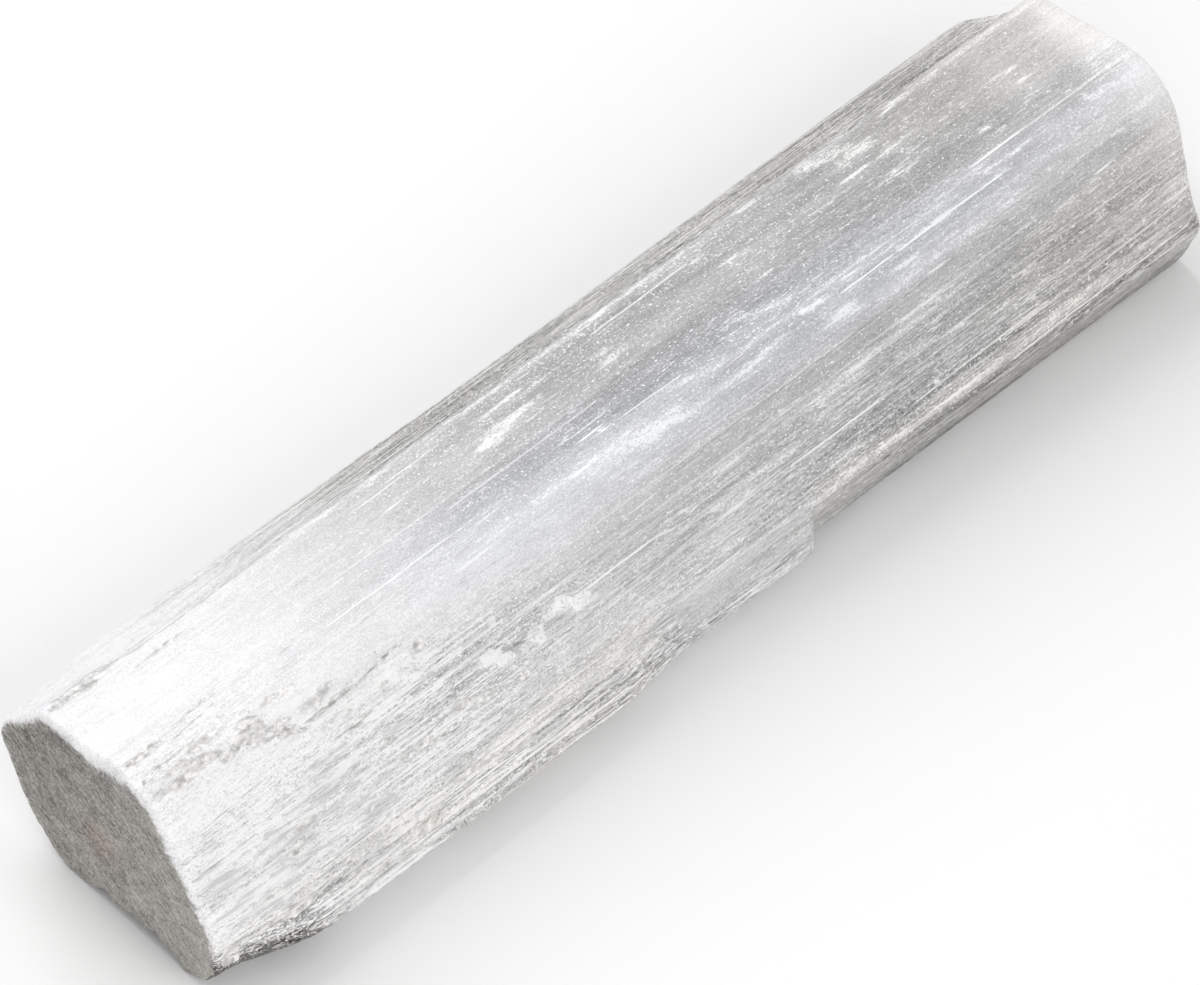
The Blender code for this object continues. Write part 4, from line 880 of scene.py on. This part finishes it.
# ======================================================================= materials
class Nodes:
    """Short ways to write a node tree."""

    def __init__(self, name):
        self.material = bpy.data.materials.new(name)
        self.material.use_nodes = True
        self.tree = self.material.node_tree
        self.tree.nodes.clear()
        self.out = self.tree.nodes.new("ShaderNodeOutputMaterial")
        self.shader = self.tree.nodes.new("ShaderNodeBsdfPrincipled")
        self.tree.links.new(self.shader.outputs[0], self.out.inputs["Surface"])
        self.coord = self.tree.nodes.new("ShaderNodeTexCoord").outputs["Object"]

    def put(self, socket, value):
        if isinstance(value, bpy.types.NodeSocket):
            self.tree.links.new(value, socket)
        else:
            socket.default_value = value

    def math(self, op, a, b=0.0, c=0.0, clamp=False):
        n = self.tree.nodes.new("ShaderNodeMath")
        n.operation, n.use_clamp = op, clamp
        for i, v in enumerate((a, b, c)):
            self.put(n.inputs[i], v)
        return n.outputs[0]

    def add(self, *terms):
        total = terms[0]
        for t in terms[1:]:
            total = self.math("ADD", total, t)
        return total

    def mul(self, a, b):
        return self.math("MULTIPLY", a, b)

    def step(self, value, low, high, to_low=0.0, to_high=1.0):
        n = self.tree.nodes.new("ShaderNodeMapRange")
        n.interpolation_type = "SMOOTHSTEP"
        for k, v in zip(("Value", "From Min", "From Max", "To Min", "To Max"), (value, low, high, to_low, to_high)):
            self.put(n.inputs[k], v)
        return n.outputs[0]

    def attribute(self, name):
        n = self.tree.nodes.new("ShaderNodeAttribute")
        n.attribute_name = name
        return n.outputs["Fac"]

    def noise(self, scale, offset=0.0, detail=3.0, rough=0.55, turn=None):
        """Solid noise with so many cells a millimetre along x, y and z, after a turn."""
        where = self.coord
        if turn is not None:
            t = self.tree.nodes.new("ShaderNodeMapping")
            t.inputs["Rotation"].default_value = turn
            self.put(t.inputs["Vector"], where)
            where = t.outputs[0]
        m = self.tree.nodes.new("ShaderNodeMapping")
        m.inputs["Scale"].default_value = [1000.0 * v for v in scale]
        m.inputs["Location"].default_value = (offset, offset * 1.7, offset * 0.6)
        self.put(m.inputs["Vector"], where)
        n = self.tree.nodes.new("ShaderNodeTexNoise")
        n.inputs["Scale"].default_value = 1.0
        n.inputs["Detail"].default_value = detail
        n.inputs["Roughness"].default_value = rough
        self.put(n.inputs["Vector"], m.outputs[0])
        return n.outputs[0]

    def mix(self, fac, a, b):
        n = self.tree.nodes.new("ShaderNodeMix")
        n.data_type = "FLOAT"
        self.put(n.inputs[0], fac)
        self.put(n.inputs[2], a)
        self.put(n.inputs[3], b)
        return n.outputs[0]

    def blend(self, fac, a, b):
        n = self.tree.nodes.new("ShaderNodeMix")
        n.data_type = "RGBA"
        self.put(n.inputs[0], fac)
        self.put(n.inputs[6], a if isinstance(a, bpy.types.NodeSocket) else (*a, 1.0))
        self.put(n.inputs[7], b if isinstance(b, bpy.types.NodeSocket) else (*b, 1.0))
        return n.outputs[2]

    def grey(self, tint, value):
        """A tint scaled by a brightness."""
        n = self.tree.nodes.new("ShaderNodeVectorMath")
        n.operation = "SCALE"
        self.put(n.inputs[0], tint)
        self.put(n.inputs["Scale"], value)
        return n.outputs[0]

    def bump(self, height, strength, distance, normal=None):
        n = self.tree.nodes.new("ShaderNodeBump")
        n.inputs["Strength"].default_value = strength
        n.inputs["Distance"].default_value = distance
        self.put(n.inputs["Height"], height)
        if normal is not None:
            self.put(n.inputs["Normal"], normal)
        return n.outputs[0]

    def plain(self, **sockets):
        self.shader.inputs["Subsurface Radius"].default_value = (1.0, 1.0, 1.0)
        for name, value in sockets.items():
            self.put(self.shader.inputs[name.replace("_", " ")], value)


def selenite():
    g = Nodes("selenite")
    white_and_sheen, veil_and_highlight, crust, lump = (g.attribute(k) for k in ("white_and_sheen", "veil_and_highlight", "crust", "lump"))
    sawn, edge, warm, split = (g.attribute(k) for k in ("sawn", "edge", "warm", "split"))

    def about(value, amount):
        return g.mul(g.math("SUBTRACT", value, 0.5), amount)

    mid = g.noise((0.02, 0.7, 0.7), 5.3, 2.0)
    fine = g.noise((0.06, 4.0, 4.0), 3.1, 2.0, 0.6)
    grain = g.noise((4.2, 4.6, 4.6), 17.0, 2.0, 0.65)
    cloud = g.noise((0.09, 0.40, 0.40), 2.2, 3.0, 0.62)
    ragged = g.noise((0.6, 2.0, 2.0), 7.9, 4.0, 0.66)
    shred = g.noise((0.16, 1.1, 1.1), 27.0, 3.0, 0.62)
    hair = g.noise((0.07, 4.8, 4.8), 41.0, 1.0)
    slit = g.noise((0.07, 4.6, 4.6), 37.0, 1.0)
    dash = g.noise((0.42, 3.4, 3.4), 47.0, 1.0)
    fleck = g.noise((2.4, 3.8, 3.8), 11.3, 0.0)
    dust = g.noise((4.4, 4.8, 4.8), 13.9, 0.0)
    strand = g.noise((0.03, 1.5, 1.5), 53.0, 2.0, 0.6)
    patch = g.noise((0.24, 1.1, 1.1), 59.0, 3.0, 0.62)
    chip = g.noise((1.0, 2.0, 2.0), 67.0, 2.0, 0.6)
    short = g.noise((0.9, 5.2, 5.2), 71.0, 2.0, 0.6)
    spot = g.noise((2.0, 3.4, 3.4), 73.0, 2.0, 0.6)
    around = g.attribute("around")
    heel = g.mul(g.step(around, 36.5, 39.0), split)
    strip = g.mul(g.step(around, 0.9, 0.0), g.step(around, -30.0, -29.0))

    # the fibres: grey where sound, whiter where they have parted
    tone = g.add(white_and_sheen, about(mid, 0.14), about(fine, 0.10), about(cloud, 0.20), about(patch, 0.15),
                 g.mul(g.math("SUBTRACT", grain, 0.5), g.add(0.52, g.mul(split, 0.65))),
                 g.mul(g.math("SUBTRACT", short, 0.5), g.add(0.08, g.mul(split, 1.0))))
    tone = g.add(tone, g.mul(g.math("SUBTRACT", strand, 0.5), g.add(g.mul(split, 0.66), g.mul(heel, 0.35))),
                 g.mul(g.math("SUBTRACT", chip, 0.5), g.add(g.mul(strip, 0.42), g.mul(heel, 0.30))),
                 g.mul(g.math("SUBTRACT", spot, 0.5), g.mul(strip, 0.55)))
    # painted highlight: the brightest fine fibres are lightened as if lit
    lit = g.step(fine, 0.60, 0.70)
    tone = g.mix(g.mul(lit, 0.24), tone, 0.88)
    # where the log is splintered, bright and dark hairs of fibre over a greyer ground
    tone = g.add(tone, g.mul(split, g.add(-0.115, about(shred, 0.24), about(ragged, 0.18))))
    hairs = g.step(g.add(hair, about(ragged, 0.14), about(shred, 0.30)), 0.562, 0.590)
    tone = g.mix(g.mul(g.mul(split, hairs), 0.90), tone, 0.98)
    slits = g.step(g.add(slit, about(ragged, 0.12), about(shred, -0.30)), 0.630, 0.67)
    tone = g.mix(g.mul(slits, g.add(0.07, g.mul(split, 0.09))), tone, 0.42)
    # short dashes in crowds, ragged veils where the fibres are bruised
    torn = g.add(g.mul(ragged, 0.40), g.mul(grain, 0.35), g.mul(fine, 0.25))
    dashes = g.step(g.add(dash, about(cloud, 0.60), about(grain, 0.30)), 0.700, 0.740)
    tone = g.mix(g.mul(dashes, 0.60), tone, 0.92)
    tone = g.mix(g.mul(veil_and_highlight, 0.42), tone, 0.88)
    reach = g.add(0.592, g.mul(veil_and_highlight, -0.16))
    veiled = g.mul(g.step(torn, g.add(reach, -0.025), g.add(reach, 0.055)), g.step(veil_and_highlight, 0.03, 0.30))
    tone = g.mix(g.mul(veiled, g.add(0.35, g.mul(veil_and_highlight, 0.50))), tone, g.add(0.80, g.mul(grain, 0.32)))
    # painted light and shade from the relief: raised fibres lighter as if lit, grooves and hollows darker as painted
    # shade
    tone = g.mix(g.mul(g.step(edge, 0.25, 1.1), 0.55), tone, 0.94)
    tone = g.mix(g.mul(g.step(edge, -0.5, -1.5), 0.10), tone, 0.40)
    # white flecks and dust, partly painted glints where the specks crowd on the splintered lower near part
    some = g.add(0.800, g.mul(g.attribute("specks"), -0.085))
    tone = g.mix(g.mul(g.step(fleck, some, g.add(some, 0.03)), 0.85), tone, 0.98)
    some = g.add(0.800, g.mul(g.attribute("specks"), -0.100))
    tone = g.mix(g.mul(g.step(dust, some, g.add(some, 0.03)), 0.9), tone, 0.99)
    # painted glints: sparse white specks in the colour stand for sparkle off the fibres
    glint = g.add(g.noise((2.0, 5.6, 5.6), 79.0, 0.0), about(strand, 0.30), about(ragged, 0.20))
    tone = g.mix(g.mul(g.step(glint, 0.690, 0.725), g.add(0.25, g.mul(split, 0.70))), tone, 1.0)
    pore = g.add(g.noise((1.4, 6.0, 6.0), 83.0, 0.0), about(strand, -0.30))
    tone = g.mix(g.mul(g.step(pore, 0.700, 0.740), g.add(0.10, g.mul(split, 0.45))), tone, 0.50)
    line = g.add(g.math("ABSOLUTE", g.attribute("streak")), about(ragged, 1.6), about(grain, 0.8))
    line = g.mul(g.step(line, 1.15, 0.75), g.attribute("streaked"))
    tone = g.mix(g.math("MINIMUM", g.mul(line, 0.8), 1.0), tone, 0.98)
    # the fissure's crust, two patches of it also painted shade beside a lump, and the powdery lumps
    crumb = g.noise((1.1, 1.6, 1.6), 19.0, 4.0, 0.7)
    crusty = g.step(g.add(crust, about(crumb, 0.9)), 0.26, 0.40)
    tone = g.mix(g.mul(crusty, 0.80), tone, g.step(crumb, 0.36, 0.62, 0.50, 0.84))
    tone = g.mix(g.mul(g.step(lump, 0.10, 0.45), 0.95), tone, g.step(crumb, 0.30, 0.50, 0.86, 1.0))
    tone = g.mix(g.mul(crusty, g.step(crumb, 0.555, 0.60)), tone, 0.97)
    tone = g.mix(g.mul(g.mul(crusty, g.step(crumb, 0.44, 0.38)), 0.5), tone, 0.36)
    seam_and_shadow = g.mul(g.step(g.math("ABSOLUTE", g.attribute("seam_and_shadow")), 0.15, 0.03), g.step(g.attribute("nearseam"), 0.2, 0.7))
    seam_and_shadow = g.mul(seam_and_shadow, g.step(ragged, 0.42, 0.56))
    tone = g.mix(g.mul(seam_and_shadow, 0.6), tone, 0.28)

    # the sawn end: matt, warm grey, scratched along its long diagonal; its dark base grey and that grey's slope across
    # the face are partly painted shade
    turn = (math.radians(-31.0), 0.0, 0.0)
    scratch = g.noise((1.0, 0.62, 2.5), 23.0, 5.0, 0.72, turn)
    pits = g.noise((3.0, 4.0, 4.0), 29.0, 2.0, 0.6)
    blotch = g.noise((0.2, 0.28, 0.28), 31.0, 3.0, 0.55)
    cut = g.add(0.235, g.mul(g.attribute("end_tone_and_shade"), 0.16),
                g.mul(g.math("SUBTRACT", scratch, 0.5), 0.85),
                g.mul(g.math("SUBTRACT", pits, 0.5), 0.72),
                g.mul(g.math("SUBTRACT", blotch, 0.5), 0.35))
    cut = g.mix(g.mul(g.step(pits, 0.64, 0.72), 0.45), cut, 0.78)
    cut = g.mix(g.mul(seam_and_shadow, 0.75), cut, 0.14)
    rust = g.mul(g.step(g.add(g.attribute("rust"), g.mul(g.math("SUBTRACT", scratch, 0.5), 1.3)), 0.45, 0.95), 0.6)

    # the cool end of this tint, along the middle band, is painted reflection
    side_tint = g.blend(g.add(warm, g.mul(crusty, 0.35)), (0.974, 0.986, 1.028), (1.026, 0.998, 0.966))
    cut_tint = g.blend(rust, (1.05, 1.0, 0.925), (1.10, 0.88, 0.78))
    worn = g.noise((1.1, 1.3, 1.3), 43.0, 3.0, 0.6)
    sawn = g.step(g.add(sawn, g.mul(g.math("SUBTRACT", worn, 0.5), g.mul(1.3, g.step(sawn, 1.0, 0.9)))), 0.22, 0.92)
    colour = g.blend(sawn, g.grey(side_tint, tone), g.grey(cut_tint, cut))

    rough = g.add(0.34, g.mul(g.math("SUBTRACT", fine, 0.5), 0.12), g.mul(veiled, 0.18), g.mul(crusty, 0.25))
    rough = g.mix(sawn, rough, 0.78)
    rough = g.mix(g.step(lump, 0.1, 0.6), rough, 0.85)

    fibres = g.add(g.mul(fine, 0.5), g.mul(hair, 0.25), g.mul(grain, 0.35))
    height = g.mix(sawn, g.add(fibres, g.mul(crusty, g.mul(crumb, 1.5))), g.add(g.mul(scratch, 0.6), g.mul(pits, 0.7)))
    height = g.mix(g.step(lump, 0.1, 0.6), height, g.mul(crumb, 2.0))
    normal = g.bump(height, 0.5, 0.00004)

    g.plain(Base_Color=colour, Roughness=rough, Normal=normal, IOR=1.52,
            Subsurface_Weight=0.45, Subsurface_Scale=0.003, Anisotropic=0.75)
    tangent = g.tree.nodes.new("ShaderNodeTangent")
    tangent.direction_type = "RADIAL"
    tangent.axis = "X"
    g.put(g.shader.inputs["Tangent"], tangent.outputs[0])
    return g.material


def powder():
    g = Nodes("gypsum_powder")
    grain = g.noise((2.2, 2.2, 2.2), 4.0, 3.0, 0.6)
    fibre = g.noise((0.2, 4.0, 4.0), 6.0, 2.0, 0.5)
    tone = g.add(g.step(grain, 0.30, 0.62, 0.66, 0.93), g.mul(g.math("SUBTRACT", fibre, 0.5), 0.12))
    warm = g.step(g.noise((0.5, 0.5, 0.5), 8.0, 2.0), 0.45, 0.65)
    tint = g.blend(warm, (0.99, 0.99, 1.0), (1.02, 0.995, 0.97))
    g.plain(Base_Color=g.grey(tint, tone), Roughness=g.step(grain, 0.3, 0.6, 0.62, 0.85),
            Normal=g.bump(grain, 0.3, 0.00008), IOR=1.52, Subsurface_Weight=0.3, Subsurface_Scale=0.0008)
    return g.material


def splinter_stuff():
    g = Nodes("selenite_fibre")
    fine = g.noise((0.3, 5.0, 5.0), 4.5, 3.0, 0.6)
    cloud = g.noise((0.15, 0.5, 0.5), 8.5, 3.0, 0.6)
    tone = g.add(0.85, g.mul(cloud, 0.14), g.mul(g.math("SUBTRACT", fine, 0.5), 0.20))
    g.plain(Base_Color=g.grey(g.blend(cloud, (0.98, 0.985, 1.01), (1.01, 1.0, 0.985)), tone),
            Roughness=g.step(fine, 0.3, 0.7, 0.28, 0.5), Normal=g.bump(fine, 0.3, 0.00006),
            IOR=1.52, Subsurface_Weight=0.4, Subsurface_Scale=0.0015)
    return g.material


def floor_stuff():
    g = Nodes("studio_floor")
    soft = g.noise((0.004, 0.004, 0.004), 1.0, 2.0)
    g.plain(Base_Color=g.grey(g.blend(soft, (1.0, 1.0, 1.0), (0.997, 0.998, 1.0)), g.add(0.915, g.mul(soft, 0.01))),
            Roughness=0.9, IOR=1.45)
    g.shader.inputs["Specular IOR Level"].default_value = 0.1
    return g.material


# ======================================================================= the model
log, surface = build_log()
slivers = build_slivers(surface)
crust = build_crust(surface)
stone, dusty, splinter = selenite(), powder(), splinter_stuff()
log.data.materials.append(stone)
crust.data.materials.append(dusty)
slivers.data.materials.append(splinter)
for piece in (log, slivers, crust):
    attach(piece, "root")
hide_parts("selenite_log")
solid = bpy.data.objects.get("selenite_log")
if solid is not None and solid.type == "MESH":
    solid.data.materials.clear()
    solid.data.materials.append(stone)

# ======================================================================= studio
scene = bpy.context.scene
floor_mesh = bpy.data.meshes.new("floor")
R = 6.0
floor_mesh.from_pydata([(-R, -R, 0), (R, -R, 0), (R, R, 0), (-R, R, 0)], [], [(0, 1, 2, 3)])
floor = bpy.data.objects.new("floor", floor_mesh)
floor.location.z = -0.00005
scene.collection.objects.link(floor)
floor_mesh.materials.append(floor_stuff())


KEY, FRONT, OVERHEAD, WORLD = 1.7, 1.2, 4.0, 0.45


def softbox(name, at, aim, size, power, colour=(1.0, 1.0, 1.0)):
    light = bpy.data.lights.new(name, "AREA")
    light.shape = "RECTANGLE"
    light.size, light.size_y = size
    light.energy = power
    light.color = colour
    obj = bpy.data.objects.new(name, light)
    at, aim = Vector(at), Vector(aim)
    back = (at - aim).normalized()
    across = Vector((1.0, 0.0, 0.0))
    across = (across - back * across.dot(back)).normalized()
    up = back.cross(across)
    obj.matrix_world = Matrix.Translation(at) @ Matrix((across, up, back)).transposed().to_4x4()
    obj.visible_camera = False
    scene.collection.objects.link(obj)
    return obj


softbox("key", (0.03, 0.38, 0.42), (-0.02, 0.0, 0.01), (0.34, 0.42), KEY)
softbox("front", (-0.12, -0.42, 0.34), (-0.02, 0.0, 0.01), (0.5, 0.3), FRONT, (1.0, 0.995, 0.985))
softbox("overhead", (0.0, 0.0, 1.6), (0.0, 0.0, 0.0), (2.2, 2.2), OVERHEAD)

world = bpy.data.worlds.new("studio")
world.use_nodes = True
background = world.node_tree.nodes["Background"]
background.inputs["Color"].default_value = (1.0, 1.0, 1.0, 1.0)
background.inputs["Strength"].default_value = WORLD
scene.world = world
scene.view_settings.view_transform = "Standard"
scene.view_settings.look = "None"
scene.view_settings.exposure = 0.0

# the photograph's camera
AZ, EL = math.radians(-43.4), math.radians(50.3)
back = Vector((math.sin(AZ) * math.cos(EL), -math.cos(AZ) * math.cos(EL), math.sin(EL)))
right = Vector((math.cos(AZ), math.sin(AZ), 0.0))
target = Vector((-0.00065, 0.00375, 0.0047))
camera_data = bpy.data.cameras.new("photo")
camera_data.sensor_fit = "HORIZONTAL"
camera_data.sensor_width = 36.0
camera_data.lens = 7156.0 * 36.0 / 1200.0
camera_data.clip_start, camera_data.clip_end = 0.01, 50.0
camera_data.dof.use_dof = False
camera = bpy.data.objects.new("photo", camera_data)
camera.matrix_world = Matrix.Translation(target + back * 0.8) @ Matrix((right, back.cross(right), back)).transposed().to_4x4()
scene.collection.objects.link(camera)
scene.camera = camera
